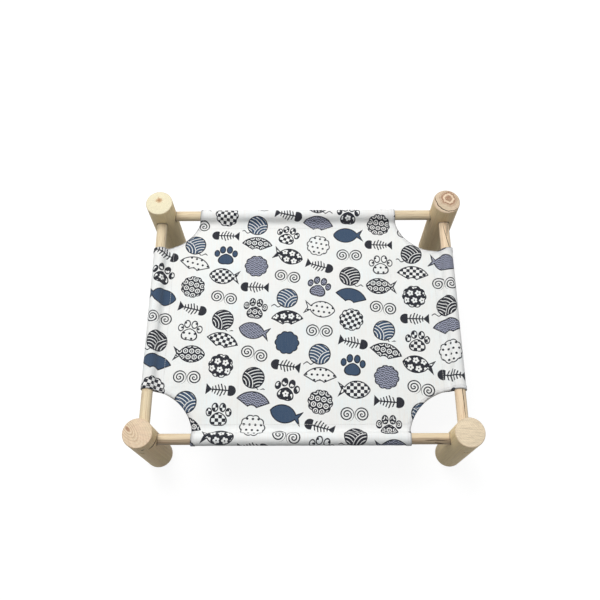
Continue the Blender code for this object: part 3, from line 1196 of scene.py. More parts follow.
    def puckers(self, s, t, x, y):
        """Short sines along each seam, and longer tucks and swells just inside it."""
        for seam, along, place in ((self.seam_s, t, np.abs(x)), (self.seam_t, s, np.abs(y))):
            off = place - seam
            wave = bent_sine(along, 470, 1.7, 95) * (0.6 + 0.4 * np.sin(along * 41))
            yield self.PUCKER_HEIGHT * wave * np.exp(-((off / self.PUCKER_WIDTH) ** 2))
            tuck = bent_sine(along, 150, 2.3, 37) * (0.5 + 0.5 * np.sin(along * 29 + 1.0))
            swell = bent_sine(along, 66, 1.1, 23, 2.0)
            beside = np.exp(-(((off - self.TUCK_OFF) / self.PUCKER_WIDTH) ** 2))
            yield (0.50 * tuck + 0.55 * swell) * MM * beside

    def folds(self, x, y, fade):
        """Folds that fan out from the ends of each sleeve: a cosine of the direction."""
        starts = ((self.seam_s, RAIL_Y - self.FOLD_START), (RAIL_X - self.FOLD_START, self.seam_t))
        for side in (-1, 1):
            for end in (-1, 1):
                for cx, cy in starts:
                    dx, dy = x - side * cx, y - end * cy
                    far = np.hypot(dx, dy)
                    turn = np.arctan2(dy * end, dx * side)
                    fan = np.cos(turn * 7.0 + 1.3 * side + 0.7 * end) * np.exp(-far / self.FOLD_REACH)
                    yield self.FOLD_HEIGHT * fan * np.clip(far / self.FOLD_FLAT, 0, 1) * fade

    def ripple(self, s, t, x, y):
        """How far the cloth stands off its smooth shape: along its normal, and upwards.

        Soft waves, puckers along the seams, folds from the sleeves' ends, the step over
        a folded hem, and the rim of a cut-out, which rolls down.
        """
        fade_s = np.clip((self.seam_s - np.abs(s)) / self.CALM_NEAR_SEAM, 0, 1)
        fade_t = np.clip((self.seam_t - np.abs(t)) / self.CALM_NEAR_SEAM, 0, 1)
        fade = np.sqrt(fade_s * fade_t)
        on_rail = np.clip(self.past_seams(s, t) / self.ON_RAIL_AFTER, 0, 1)
        slack = np.sin(s * 260 + 2 * np.sin(t * 70)) * np.sin(t * 310 + 2 * np.sin(s * 60))
        normal = self.soft_waves(s, t) * fade + on_rail * (0.12 + 0.10 * slack) * MM
        up = np.zeros_like(s)
        for part in (*self.puckers(s, t, x, y), *self.folds(x, y, fade)):
            up += part
        edge = self.from_edge(x, y)
        hem = 1 - np.clip((edge - self.sling.hem_width) / self.HEM_STEP, 0, 1)
        hem = hem * hem * (3 - 2 * hem)
        in_sleeve = np.clip(on_rail * 2.0, 0, 1)
        normal += hem * in_sleeve * self.HEM_LIFT
        roll = np.clip(1 - edge / self.ROLL_WIDTH, 0, 1) ** 2
        up -= roll * (1 - in_sleeve) * self.ROLL_DROP * np.clip(fade * 3 - 1.0, 0, 1)
        return normal, up

    def place(self, s, t, height):
        """Points in metres of cloth points s and t, at a height off the cloth's middle.

        Across and along, the sleeve's table gives how far out and up a point is. Its
        height is added to the panel's. Then the point moves along the surface's normal
        by the height and the ripple, and upwards by the ripple.
        """
        s, t, height = np.broadcast_arrays(*(np.asarray(a, float) for a in (s, t, height)))
        out_s, z_s, side_s, top_s = self.sleeve(np.abs(s) - self.seam_s)
        out_t, z_t, side_t, top_t = self.sleeve(np.abs(t) - self.seam_t)
        x = np.sign(s) * (RAIL_X + out_s)
        y = np.sign(t) * (RAIL_Y + out_t)
        z = self.base_height(x, y) + z_s + z_t
        d = self.SLOPE_STEP
        slope_x = (self.base_height(x + d, y) - self.base_height(x - d, y)) / (2 * d)
        slope_y = (self.base_height(x, y + d) - self.base_height(x, y - d)) / (2 * d)
        up = top_s * top_t
        tilt_x, tilt_y = np.sign(s) * side_s - slope_x * up, np.sign(t) * side_t - slope_y * up
        normal = unit(np.stack([tilt_x, tilt_y, up], axis=-1))
        off, up = self.ripple(s, t, x, y)
        points = np.stack([x, y, z + up], axis=-1)
        return points + normal * (height + off)[..., None]

    def hem_line(self, name, spacing):
        """The rim of a corner's cut-out, as points on the flat cloth, for the right back.

        It runs from the back sleeve's flap, round the back rail, along the quarter
        circle, and round the right rail to that sleeve's flap. With each point comes
        the direction into the cloth. Other corners use it mirrored.
        """
        radius = self.sling.corner_radius
        cx, cy = self.cut_middle(name)
        past = np.linspace(self.past_seam - 0.3 * MM, 0, 120)
        out = self.sleeve(past)[0]
        back = np.stack([cx - np.sqrt(radius**2 - (RAIL_Y + out - cy) ** 2), self.seam_t + past], axis=1)
        first = math.asin((cy - self.seam_t) / radius)
        last = math.pi / 2 - math.asin((cx - self.seam_s) / radius)
        angle = np.linspace(first, last, 120)[1:-1]
        arc = np.stack([cx - radius * np.cos(angle), cy - radius * np.sin(angle)], axis=1)
        right = np.stack([self.seam_s + past, cy - np.sqrt(radius**2 - (RAIL_X + out - cx) ** 2)], axis=1)
        line = even_steps(np.concatenate([back, arc, right[::-1]]), spacing)
        travel = unit(np.gradient(line, axis=0))
        inward = np.stack([travel[:, 1], -travel[:, 0]], axis=1)
        if inward[len(line) // 2].sum() > 0:
            inward = -inward
        return line, inward


def bent_sine(along, rate, bend, bend_rate, phase=0.0):
    """A sine of a distance, its phase bent by a slower sine, so that no two waves are alike."""
    return np.sin(along * rate + bend * np.sin(along * bend_rate) + phase)


def lengths_along(line):
    """Each point's distance from the first along a line of points."""
    return np.concatenate([[0], np.cumsum(np.linalg.norm(np.diff(line, axis=0), axis=1))])


def even_steps(line, spacing):
    """A line of points again, at equal steps along it."""
    lengths = lengths_along(line)
    count = max(2, int(round(lengths[-1] / spacing)) + 1)
    at = np.linspace(0, lengths[-1], count)
    return np.stack([np.interp(at, lengths, line[:, k]) for k in range(line.shape[1])], axis=1)


def add_cloth_map(piece, drape, flat):
    """Stores each point's place on the flat cloth as the UV map, in metres.

    How much painted shade the canvas gets where it lies in two layers, and along the rolled
    rims, is stored too, as attributes that the material reads.
    """
    layer = piece.data.uv_layers.new(name="cloth")
    index = np.zeros(len(piece.data.loops), np.int32)
    piece.data.loops.foreach_get("vertex_index", index)
    layer.data.foreach_set("uv", flat[index].astype(np.float32).ravel())
    for name, value in (("layer_shade", drape.layer_shade), ("rim_shade", drape.rim_shade)):
        stored = piece.data.attributes.new(name, "FLOAT", "POINT")
        stored.data.foreach_set("value", value(flat[:, 0], flat[:, 1]).astype(np.float32))


def cloth_lines(seam, end, cell):
    """Grid lines across the flat cloth: even in the panel, closer over the sleeves."""
    near, past, closer = 12 * MM, 3 * MM, 0.55
    inner = np.linspace(0, seam - near, int((seam - near) / cell) + 1)
    edge = np.linspace(seam - near, seam + past, 12)[1:]
    rest = np.linspace(seam + past, end, int((end - seam) / (closer * cell)))[1:]
    half = np.concatenate([inner, edge, rest])
    return np.concatenate([-half[:0:-1], half])


HALVINGS = 24


def trimmed(flat, quads, kept):
    """A flat grid of quads, cut along the line where kept() changes its sign.

    Each grid edge that the line crosses gets one new point, found by halving. A quad on
    the line becomes the polygon of its kept corners and its new points. The faces come
    back as one array for each number of corners.
    """
    inside = kept(flat) > 0
    count = inside[quads].sum(axis=1)
    mixed = quads[(count > 0) & (count < 4)]
    ends = np.stack([mixed, np.roll(mixed, -1, axis=1)], axis=-1)
    crossed = inside[ends[..., 0]] != inside[ends[..., 1]]
    edges, back = np.unique(np.sort(ends, axis=-1)[crossed], axis=0, return_inverse=True)
    held = np.where(inside[edges[:, 0]], edges[:, 0], edges[:, 1])
    lost = np.where(inside[edges[:, 0]], edges[:, 1], edges[:, 0])
    near, far = flat[held], flat[lost]
    for _ in range(HALVINGS):
        half = (near + far) / 2
        good = (kept(half) > 0)[:, None]
        near, far = np.where(good, half, near), np.where(good, far, half)
    corner = np.where(inside[mixed], mixed, -1)
    extra = np.full(crossed.shape, -1)
    extra[crossed] = len(flat) + back.ravel()
    ring = np.stack([corner, extra], axis=-1).reshape(len(mixed), 8)
    order = np.argsort(ring < 0, axis=1, kind="stable")
    ring = np.take_along_axis(ring, order, axis=1)
    size = (ring >= 0).sum(axis=1)
    faces = [quads[count == 4]] + [ring[size == n][:, :n] for n in (3, 4, 5)]
    return np.concatenate([flat, near]), faces


def shell(faces, count):
    """A sheet's faces above, the same below and turned over, and a wall along its rim.

    The rim is made of the edges that only one face has. The points below are numbered
    on from the count of those above. Points that no face has are left out, and the
    numbers of those in use come back with the faces.
    """
    travel = np.concatenate([np.stack([f, np.roll(f, -1, axis=1)], axis=-1).reshape(-1, 2) for f in faces])
    keys = travel[:, 0] * count + travel[:, 1]
    rim = travel[~np.isin(keys, travel[:, 1] * count + travel[:, 0])]
    below = [f[:, ::-1] + count for f in faces]
    wall = np.stack([rim[:, 1], rim[:, 0], rim[:, 0] + count, rim[:, 1] + count], axis=1)
    used = np.unique(travel)
    used = np.concatenate([used, used + count])
    renumber = np.zeros(2 * count, np.int64)
    renumber[used] = np.arange(len(used))
    return [renumber[f] for f in faces + below + [wall]], used


def make_sheet(drape, materials):
    """The canvas as a closed shell on a grid of cloth points, its corners cut round."""
    fold_inset, turned_in_reach, turned_in_step = 0.75 * MM, 9 * MM, 1.5 * MM
    sling = drape.sling
    s = cloth_lines(drape.seam_s, drape.seam_s + drape.past_seam, sling.cell)
    t = cloth_lines(drape.seam_t, drape.seam_t + drape.past_seam, sling.cell)
    flat = np.stack(np.meshgrid(s, t), axis=-1).reshape(-1, 2)

    def kept(spots):
        return drape.edge_at(spots[:, 0], spots[:, 1]) - fold_inset

    flat, faces = trimmed(flat, grid_faces(len(t), len(s)), kept)
    half = sling.thickness / 2
    past = drape.past_seams(flat[:, 0], flat[:, 1])
    turned_in = np.clip((past - (drape.past_seam - turned_in_reach)) / turned_in_step, 0, 1)
    top = drape.place(flat[:, 0], flat[:, 1], half)
    under = drape.place(flat[:, 0], flat[:, 1], -half - turned_in * sling.thickness)
    every, used = shell(faces, len(flat))
    points = np.concatenate([top, under])[used]
    sheet = new_piece("canvas_sling", points, listed(*every), materials, smooth=SHEET_SMOOTH)
    add_cloth_map(sheet, drape, np.concatenate([flat, flat])[used])
    side = np.zeros(len(sheet.data.polygons), np.int32)
    count = sum(len(f) for f in faces)
    side[count : 2 * count] = 1
    sheet.data.polygons.foreach_set("material_index", side)
    return sheet


def make_hems(drape, materials):
    """The turned hem of each cut-out: a fold at the edge and a strip under the canvas.

    The cross-section is a half circle round the sheet's edge and a flat strip, carried
    along the hem line on the cloth and hung with the sheet.
    """
    sling = drape.sling
    thick, wide = sling.thickness, sling.hem_width
    angle = np.linspace(math.pi / 2, 3 * math.pi / 2, 9)
    fold, strip_top, strip_under, least = thick * 1.03, -thick * 0.53, -thick * 1.53, 0.06
    loop_n = np.concatenate([fold + fold * np.cos(angle), [wide, wide, fold]])
    loop_h = np.concatenate([-thick / 2 + fold * np.sin(angle), [strip_under, strip_top, strip_top]])
    span = wide - fold
    loop_u = np.concatenate([fold * np.sin(angle) * 1.2, [-span, -span, -fold]])
    points, flats, faces, start = [], [], [], 0
    for name, (side, end) in CORNERS.items():
        line, inward = drape.hem_line(name, 1.6 * MM)
        off = drape.past_seams(line[:, 0], line[:, 1])
        from_seam = np.minimum(np.abs(off), np.abs(off - drape.past_seam) - 1 * MM)
        squeeze = np.clip(from_seam / (3 * MM), least, 1)[:, None]
        depth = np.where(loop_h < -thick / 2, -thick / 2 + (loop_h + thick / 2) * squeeze, loop_h)
        mirror = np.array((side, end))
        base = line[:, None] * mirror
        towards = inward[:, None] * mirror
        cloth = base + towards * loop_n[None, :, None]
        hung = drape.place(cloth[..., 0], cloth[..., 1], depth)
        quads = grid_faces(len(line), len(loop_n), closed=True) + start
        ring = np.arange(len(loop_n)) + start
        caps = np.stack([ring[::-1], ring + (len(line) - 1) * len(loop_n)])
        if side * end < 0:
            quads, caps = quads[:, ::-1], caps[:, ::-1]
        points.append(hung.reshape(-1, 3))
        flats.append((base + towards * loop_u[None, :, None]).reshape(-1, 2))
        faces += [quads, caps]
        start += hung.shape[0] * hung.shape[1]
    hems = new_piece("canvas_hems", np.concatenate(points), listed(*faces), materials)
    add_cloth_map(hems, drape, np.concatenate(flats))
    fix_normals(hems)
    hems.data.shade_smooth()
    hems.data.set_sharp_from_angle(angle=math.radians(HEM_SMOOTH))
    return hems


def stitch_shape(radius, length):
    """One stitch lying along its first axis: rings of six points whose ends dip into the cloth."""
    at = np.array([-0.5, -0.44, -0.25, 0.0, 0.25, 0.44, 0.5])
    height = radius * np.array([-1.2, -0.1, 0.45, 0.6, 0.45, -0.1, -1.2])
    size = radius * np.array([0.55, 0.9, 1.0, 1.0, 1.0, 0.9, 0.55])
    turn = np.linspace(0, 2 * np.pi, 6, endpoint=False)
    across = size[:, None] * np.cos(turn)
    up = height[:, None] + size[:, None] * np.sin(turn)
    along = np.broadcast_to((at * length)[:, None], across.shape)
    return np.stack([along, across, up], axis=-1).reshape(-1, 3), len(at), len(turn)


def seam_ends(drape):
    """Where the seams end at each cut-out: the distance along s and along t, just off it."""
    radius, clear = drape.sling.corner_radius, 2 * MM
    ends = {}
    for name in CORNERS:
        cx, cy = drape.cut_middle(name)
        ends[name] = (
            cx - math.sqrt(radius**2 - (cy - drape.seam_t) ** 2) - clear,
            cy - math.sqrt(radius**2 - (cx - drape.seam_s) ** 2) - clear,
        )
    return ends


def stitch_rows(drape):
    """Lines of cloth points that carry stitches, each with its height off the cloth's middle."""
    sling = drape.sling
    half = sling.thickness / 2
    from_strip_edge, beside_seam = 1.4 * MM, 0.9 * MM
    rows = []
    for name, corner in CORNERS.items():
        line, inward = drape.hem_line(name, 1.0 * MM)
        inner = line + inward * (sling.hem_width - from_strip_edge)
        past = drape.past_seams(inner[:, 0], inner[:, 1])
        mirror = np.array(corner)
        rows.append((inner * mirror, half))
        rows.append((inner[past < -2 * MM] * mirror, -half - 1.03 * sling.thickness))
    ends = seam_ends(drape)
    for lap in (-beside_seam, drape.past_seam - sling.flap_lap + beside_seam):
        for word, way in SIDES.items():
            s = way * (drape.seam_s + lap)
            rows.append((np.array([[s, -ends[f"front_{word}"][1]], [s, ends[f"back_{word}"][1]]]), half))
        for word, way in ENDS.items():
            t = way * (drape.seam_t + lap)
            rows.append((np.array([[-ends[f"{word}_left"][0], t], [ends[f"{word}_right"][0], t]]), half))
    return rows


def make_stitches(drape, material):
    """Rows of stitches on both faces: along each seam, and along each hem.

    One stitch's shape is set at every second step of a row, turned along the row, and
    hung with the sheet.
    """
    sling = drape.sling
    shape, rings, around = stitch_shape(sling.thread_radius, sling.stitch_pitch * 0.8)
    flat, lift = [], []
    for row, height in stitch_rows(drape):
        spots = even_steps(row, sling.stitch_pitch / 2)
        travel = unit(np.gradient(spots, axis=0))
        spots, travel = spots[1:-1:2], travel[1:-1:2]
        across = np.stack([-travel[:, 1], travel[:, 0]], axis=1)
        face = 1.0 if height > 0 else -1.0
        flat.append(
            spots[:, None]
            + travel[:, None] * shape[None, :, 0:1]
            + across[:, None] * shape[None, :, 1:2] * face
        )
        lift.append(np.broadcast_to(height + face * shape[None, :, 2], flat[-1].shape[:2]))
    flat, lift = np.concatenate(flat), np.concatenate(lift)
    points = drape.place(flat[..., 0], flat[..., 1], lift).reshape(-1, 3)
    quads = grid_faces(rings, around, closed=True)
    caps = np.array([np.arange(around)[::-1], np.arange(around) + (rings - 1) * around])
    offset = (np.arange(len(flat)) * len(shape))[:, None, None]
    quads = (quads[None] + offset).reshape(-1, 4)
    caps = (caps[None] + offset).reshape(-1, around)
    stitches = new_piece("canvas_stitches", points, listed(quads, caps), [material])
    fix_normals(stitches)
    stitches.data.shade_smooth()
    return stitches


class Print:
    """The printed pattern, worked out from a point's place in its cell, in millimetres.

    Cells stand in columns, and every other column is shifted by half a row. Each cell
    holds one motif: a fish, a fan, a rosette or a paw with a patterned filling, a ball
    of yarn with pale strands, or a pair of curls or a fishbone drawn in lines.
    """

    FISH, BALL, ROSETTE, PAW, CURLS, FAN, BONE = KINDS = range(7)
    WAVES, CHECKS, DOTS, BLOSSOMS, RINGS, PLAIN = FILLS = range(6)
    SIZE = 1.19
    TILT, TILT_RANGE = 0.16, 0.14
    OUTLINE = 0.7
    SOFT = 0.15

    def __init__(self, recipe, cloth, settings):
        self.r = recipe
        self.settings = settings
        width, height = settings.column / MM, settings.row / MM
        u, v = cloth
        column = (u / width).floor()
        shifted = v + (column % 2.0) * (height / 2)
        row = (shifted / height).floor()
        p = u - (column + 0.5) * width
        q = shifted - (row + 0.5) * height
        self.kind = (column * 2.0 + row * 3.0) % float(len(self.KINDS))
        self.fill = (column * 5.0 + row * 4.0 + 2.0) % float(len(self.FILLS))
        odd = (column + row) % 2.0
        p = p * (odd * 2.0 - 1.0)
        tilt = (odd * 2.0 - 1.0) * self.TILT + ((column * 1.7 + row * 2.3).sine()) * self.TILT_RANGE
        c, s = tilt.cosine(), tilt.sine()
        self.p = (p * c - q * s) / self.SIZE
        self.q = (p * s + q * c) / self.SIZE

    def fish(self):
        """A lens-shaped body and a forked tail, as a distance from its outline."""
        r, p, tall = self.r, self.p, abs(self.q)
        body = r.reach(p + 4.0, tall + 7.3) - 18.2
        tail = r.largest(tall * 0.85 - (p - 7.5) * 0.62, p - 18.5 + (8.0 - tall) * 0.45)
        return r.smallest(body, tail)

    def fan(self):
        """A folding fan: the part of a ring between two spokes."""
        r, wide, up = self.r, abs(self.p), self.q + 11.0
        far = r.reach(wide, up)
        spoke = wide * 0.47 - up * 0.88
        return r.largest(far - 24.0, spoke + 2.0, 7.5 - far)

    def rosette(self):
        """A round shape with ten soft scallops."""
        r = self.r
        turn = r.math("ARCTAN2", self.q, self.p)
        return r.reach(self.p, self.q) - 13.8 - abs((turn * 5.0).cosine()) * 1.5

    def paw(self):
        """A wide pad under four toes."""
        r, wide, q = self.r, abs(self.p), self.q
        pad = (r.reach(wide / 9.8, (q + 4.8 + wide * 0.22) / 7.6) - 1.0) * 8.0
        inner = (r.reach((wide - 4.7) / 3.6, (q - 9.0) / 4.9) - 1.0) * 4.0
        outer = (r.reach((wide - 12.0) / 3.3, (q - 3.2) / 4.6) - 1.0) * 4.0
        return r.smallest(pad, inner, outer)

    def yarn_ball(self):
        """A disc, and the pale lines of its strands: arcs about two points beside it."""
        r, p, q = self.r, self.p, self.q
        disc = r.reach(p, q) - 13.4
        first = r.reach(p + 14.0, q + 12.0)
        second = r.reach(p - 12.0, q + 15.0)
        strands = r.math("WRAP", first, 2.0, -2.0)
        other = r.math("WRAP", second, 2.0, -2.0)
        over = (first - 17.0).inside()
        lines = abs(strands) * over + abs(other) * (1.0 - over)
        return disc, (lines - 0.5).inside()

    def loose_end(self):
        """The ball's loose end, a wavy line beside its foot."""
        p, q = self.p, self.q
        wave = q + 12.2 - ((p - 3.0) * 0.6).sine() * 1.5
        return self.r.largest(abs(wave) - 0.75, abs(p - 12.5) - 8.0)

    def curls(self):
        """Lines only: two spirals side by side, that open away from each other."""
        r = self.r
        wide = abs(self.p) - 9.2
        far = r.reach(wide, self.q)
        turn = r.math("ARCTAN2", self.q, wide)
        wound = r.math("WRAP", far - turn * (3.6 / (2 * math.pi)), 1.8, -1.8)
        return r.largest(abs(wound) - 0.8, far - 9.0)

    def fishbone(self):
        """Lines only: a spine with slanted ribs, a head and a tail."""
        r, p, tall = self.r, self.p, abs(self.q)
        spine = r.largest(tall - 0.85, abs(p) - 12.5)
        rib = r.math("WRAP", p - tall * 0.35, 2.0, -2.0)
        ribs = r.largest(abs(rib) - 0.82, tall - 8.2 + abs(p + 1.0) * 0.42, abs(p) - 9.5)
        head = r.largest(r.reach(p + 13.5, tall) - 6.8, p + 10.5)
        tail = r.largest(tall - (p - 9.5) * 0.95, p - 17.0)
        return r.smallest(spine, ribs, head, tail)

    def waves(self):
        """Overlapping arcs in rows: the front row that reaches a point shows its rings."""
        r = self.r
        x, y = self.p / 5.7, self.q / 5.7
        low = (y * 2.0).floor()
        rings = None
        for step in (1.0, 0.0, -1.0):
            level = low + step
            side = (x + level) % 2.0 - 1.0
            far = r.reach(side, y - level * 0.5)
            line = abs(r.math("WRAP", far - 0.2, 0.2, -0.2))
            own = far.rise(0.99, 1.0)
            rings = line if rings is None else rings * own + line * (1.0 - own)
        return 1.0 - rings.rise(0.06, 0.11)

    def checks(self):
        node = self.r.node(
            "ShaderNodeTexChecker",
            None,
            {"Vector": self.r.vector(self.p + 0.01, self.q + 0.01, 0.005), "Scale": 1 / 4.3},
        )
        return self.r.signal(node, "Fac")

    def cells(self, pitch):
        """A point's place in small staggered cells."""
        line = (self.q / pitch).floor()
        x = (self.p + line * (pitch / 2)) % pitch - pitch / 2
        y = self.q % pitch - pitch / 2
        return x, y

    def dots(self):
        x, y = self.cells(7.0)
        return (self.r.reach(x, y) - 1.5).inside()

    def blossoms(self):
        """White five-petalled flowers with a dark middle."""
        r = self.r
        x, y = self.cells(10.2)
        far = r.reach(x, y)
        turn = r.math("ARCTAN2", y, x)
        petals = 2.7 + abs((turn * 2.5).cosine()) * 1.5
        return (far - petals).inside() * (1.0 - (far - 0.95).inside())

    def rings(self):
        """White rings, each with a dot in it."""
        x, y = self.cells(7.8)
        far = self.r.reach(x, y)
        return self.r.smallest((abs(far - 2.7) - 0.6).inside() + (far - 0.9).inside(), 1.0)

    def motifs(self, disc):
        """Where a filled motif is, and where an outline or a motif of lines is."""
        filled_kinds = (
            (self.FISH, self.fish()),
            (self.ROSETTE, self.rosette()),
            (self.FAN, self.fan()),
            (self.PAW, self.paw()),
            (self.BALL, disc),
        )
        line_kinds = (
            (self.BALL, self.loose_end()),
            (self.CURLS, self.curls()),
            (self.BONE, self.fishbone()),
        )
        bodies, lines = [], []
        for kind, shape in filled_kinds:
            here = self.kind.is_near(float(kind))
            bodies.append(shape.inside(self.SOFT) * here)
            lines.append((abs(shape) - self.OUTLINE).inside(self.SOFT) * here)
        for kind, shape in line_kinds:
            lines.append(shape.inside(self.SOFT) * self.kind.is_near(float(kind)))
        return sum(bodies[1:], bodies[0]), sum(lines[1:], lines[0])

    def filling(self, canvas, strands):
        """What is inside a filled motif: a pattern in two colours, or a ball's strands."""
        r, s = self.r, self.settings
        patterns = (
            (self.WAVES, self.waves(), s.lilac, s.ink),
            (self.CHECKS, self.checks(), canvas, s.ink),
            (self.DOTS, self.dots(), canvas, s.ink),
            (self.BLOSSOMS, self.blossoms(), s.ink, canvas),
            (self.RINGS, self.rings(), s.ink, canvas),
        )
        inside = r.blend(self.fill.is_near(float(self.PLAIN)), canvas, s.navy)
        for fill, mask, ground, figure in patterns:
            inside = r.blend(self.fill.is_near(float(fill)), inside, r.blend(mask, ground, figure))
        ground = r.blend((self.fill - 2.5).rise(0.0, 0.1), s.navy, s.ink)
        return r.blend(self.kind.is_near(float(self.BALL)), inside, r.blend(strands, ground, canvas))

    def colour(self, canvas, strength):
        """The canvas's colour with the print on it."""
        disc, strands = self.yarn_ball()
        filled, edge = self.motifs(disc)
        colour = self.r.blend(filled * strength, canvas, self.filling(canvas, strands))
        return self.r.blend(edge * strength, colour, self.settings.ink)


def woven(r, u, v, yarn):
    """Warp and weft: ridges half a yarn out of step, which take turns on top."""
    turn = math.pi / (yarn / MM)
    uneven = r.noise(r.vector(u * 0.9, v * 0.9), detail=2.0) * 1.6
    warp = abs((u * turn + uneven).sine())
    weft = abs((v * turn + uneven).sine())
    over = ((u * turn).cosine() * (v * turn).cosine()).rise(-0.25, 0.25)
    return warp * over + weft * (1.0 - over)


def creased(r, u, v):
    """1 on the lines where the canvas lay folded, a fixed distance apart."""
    first, half_spacing = 21.0, 59.0
    fold = u + r.noise(r.vector(u * 0.004, v * 0.012), detail=2.0) * 5.0
    return 1.0 - abs(r.math("WRAP", fold - first, half_spacing, -half_spacing)).rise(0.3, 1.3)


def canvas_material(name, cot, strength):
    """Plain-woven canvas with the print at a strength: 1 on its face, faint on its back.

    Slubs are noise drawn out along the warp and the weft. A cloudy tint changes the canvas's
    colour, and painted shade darkens the creases, the parts in two layers and the rolled rims.
    """
    warm, cool = srgb(246, 239, 229), srgb(235, 243, 244)
    r = Recipe(name)
    flat = r.node("ShaderNodeUVMap", {"uv_map": "cloth"}).outputs[0]
    u, v, _ = r.split(r.shade(flat, 1 / MM))
    weave = woven(r, u, v, cot.sling.yarn)
    slub = r.noise(r.vector(u * 0.8, v * 0.035), detail=3.0, roughness=0.6)
    slub_across = r.noise(r.vector(u * 0.03, v * 0.9), detail=2.0)
    cloudy = r.noise(r.vector(u * 0.02, v * 0.02), detail=2.0)
    crease = creased(r, u, v)
    # The creases are darker by painted shade in their folds, besides their bump
    tone = 0.96 + weave * 0.04 + slub * 0.10 + slub_across * 0.04 + cloudy * 0.03 - crease * 0.03
    plain = r.blend(0.5 + slub * 1.6 + cloudy * 1.6, warm, cool)
    plain = r.blend(0.6 + cloudy, cot.sling.canvas, plain)
    # Painted shade on the canvas in two layers, and along the rolled rims of the cut-outs
    layered = r.blend(r.stored("layer_shade"), plain, cot.sling.layer_shade)
    canvas = r.shade(layered, tone - r.stored("rim_shade") * (0.5 + slub * 0.6))
    wear = (1.0 - weave.rise(0.9, 1.0) * 0.06 + slub * 0.08) * strength
    colour = Print(r, (u, v), cot.print).colour(canvas, wear)
    height = weave + slub * 0.9 + slub_across * 0.5 - crease * 0.8
    roughness = 0.86 - weave * 0.08
    return r.finish(colour, roughness, height, depth=0.09 * MM, Sheen_Weight=0.15, Specular_IOR_Level=0.25)


def thread_material(sling):
    """Twisted white sewing thread."""
    r = Recipe("sewing_thread")
    x, y, z = r.split(r.object_mm())
    twist = ((x + y + z) * 9.0).sine()
    return r.finish(r.shade(sling.thread, 0.94 + twist * 0.04), 0.7, twist, depth=0.05 * MM)


TURNED_IN = 8 * MM


def flat_size(drape):
    """The flat sheet's width and length with what is turned in, and its area without."""
    area = 0.0
    for name in CORNERS:
        line, _ = drape.hem_line(name, 2 * MM)
        x, y = np.concatenate([[[0, 0], [0, line[0, 1]]], line, [[line[-1, 0], 0]]]).T
        area += abs(float(np.dot(x, np.roll(y, -1)) - np.dot(y, np.roll(x, -1)))) / 2
    width = 2 * (drape.seam_s + drape.past_seam + TURNED_IN)
    length = 2 * (drape.seam_t + drape.past_seam + TURNED_IN)
    return width, length, area


BACK_PRINT = 0.10


class COT_OT_canvas(bpy.types.Operator):
    """Cut, sew and hang the canvas on its rails"""

    bl_idname = "cot.canvas"
    bl_label = "Canvas"
    bl_options = {"REGISTER", "UNDO"}

    def execute(self, context):
        cot = context.scene.cot
        drape = Drape(cot.sling)
        face = canvas_material("canvas_face", cot, 1.0)
        back = canvas_material("canvas_back", cot, BACK_PRINT)
        sheet = make_sheet(drape, [face, back])
        hems = make_hems(drape, [face])
        stitches = make_stitches(drape, thread_material(cot.sling))
        for piece in (sheet, hems, stitches):
            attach(piece, "root")
        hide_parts("sling")
        width, length, area = flat_size(drape)
        print("canvas cut to", round(width, 4), round(length, 4), "area", round(area, 4))
        return {"FINISHED"}


WHITE = (1.0, 1.0, 1.0, 1.0)
SKY = (0.96, 0.98, 1.0, 1.0)
FLOOR_GLOW = 0.88
FLOOR_DIM = (0.20, 0.20, 0.20, 1.0)
FLOOR_REACH = 6.0
LAMP_PLACE = (-0.4, 0.6, 1.8)
LAMP_TARGET = (0.0, 0.0, 0.1)
LAMP_SIZE = 1.0
LAMP_COLOUR = (1.0, 0.99, 0.97)
SENSOR_WIDTH = 36.0


def floor_material(stage):
    """A pale floor that lights the cot plainly, and looks white to the camera.

    Camera, mirror and see-through rays get a glow on top of a dim lit colour, so that
    the floor is white and still keeps the cot's shadow.
    """
    r = Recipe("pale_floor")
    r.finish((*stage.floor, 1.0), 0.9, Specular_IOR_Level=0.0)
    glow = r.node("ShaderNodeEmission", None, {"Color": WHITE, "Strength": FLOOR_GLOW})
    dim = r.node("ShaderNodeBsdfDiffuse", None, {"Color": FLOOR_DIM})
    shown = r.node("ShaderNodeAddShader", None, {0: glow.outputs[0], 1: dim.outputs[0]})
    inputs = {0: r.looked_at(), 1: r.shader.outputs[0], 2: shown.outputs[0]}
    mix = r.node("ShaderNodeMixShader", None, inputs)
    r.feed(r.tree.nodes["Material Output"].inputs["Surface"], mix.outputs[0])
    return r.material


def make_world(stage):
    """Soft light from all round, stronger from behind. The camera and reflections see plain white."""
    world = bpy.data.worlds.new("studio")
    bpy.context.scene.world = world
    world.use_nodes = True
    r = Nodes(world.node_tree)
    strengths = [stage.sky * (1.0 + way * stage.lean) for way in (-1, 1)]
    front, back = [r.node("ShaderNodeBackground", None, {"Color": SKY, "Strength": s}) for s in strengths]
    towards_back = r.split(r.node("ShaderNodeTexCoord").outputs["Generated"])[1]
    behind = r.node("ShaderNodeMapRange", None, {"Value": towards_back, "From Min": -1.0})
    inputs = {0: behind.outputs[0], 1: front.outputs[0], 2: back.outputs[0]}
    lit = r.node("ShaderNodeMixShader", None, inputs)
    white = r.node("ShaderNodeBackground", None, {"Color": WHITE})
    mix = r.node("ShaderNodeMixShader", None, {0: r.looked_at(), 1: lit.outputs[0], 2: white.outputs[0]})
    r.feed(r.tree.nodes["World Output"].inputs["Surface"], mix.outputs[0])


def make_floor(stage):
    """A large flat floor under the cot."""
    steps = ((-1, -1, 0), (1, -1, 0), (1, 1, 0), (-1, 1, 0))
    corners = np.array(steps) * FLOOR_REACH
    return new_piece("studio_floor", corners, [[0, 1, 2, 3]], [floor_material(stage)])


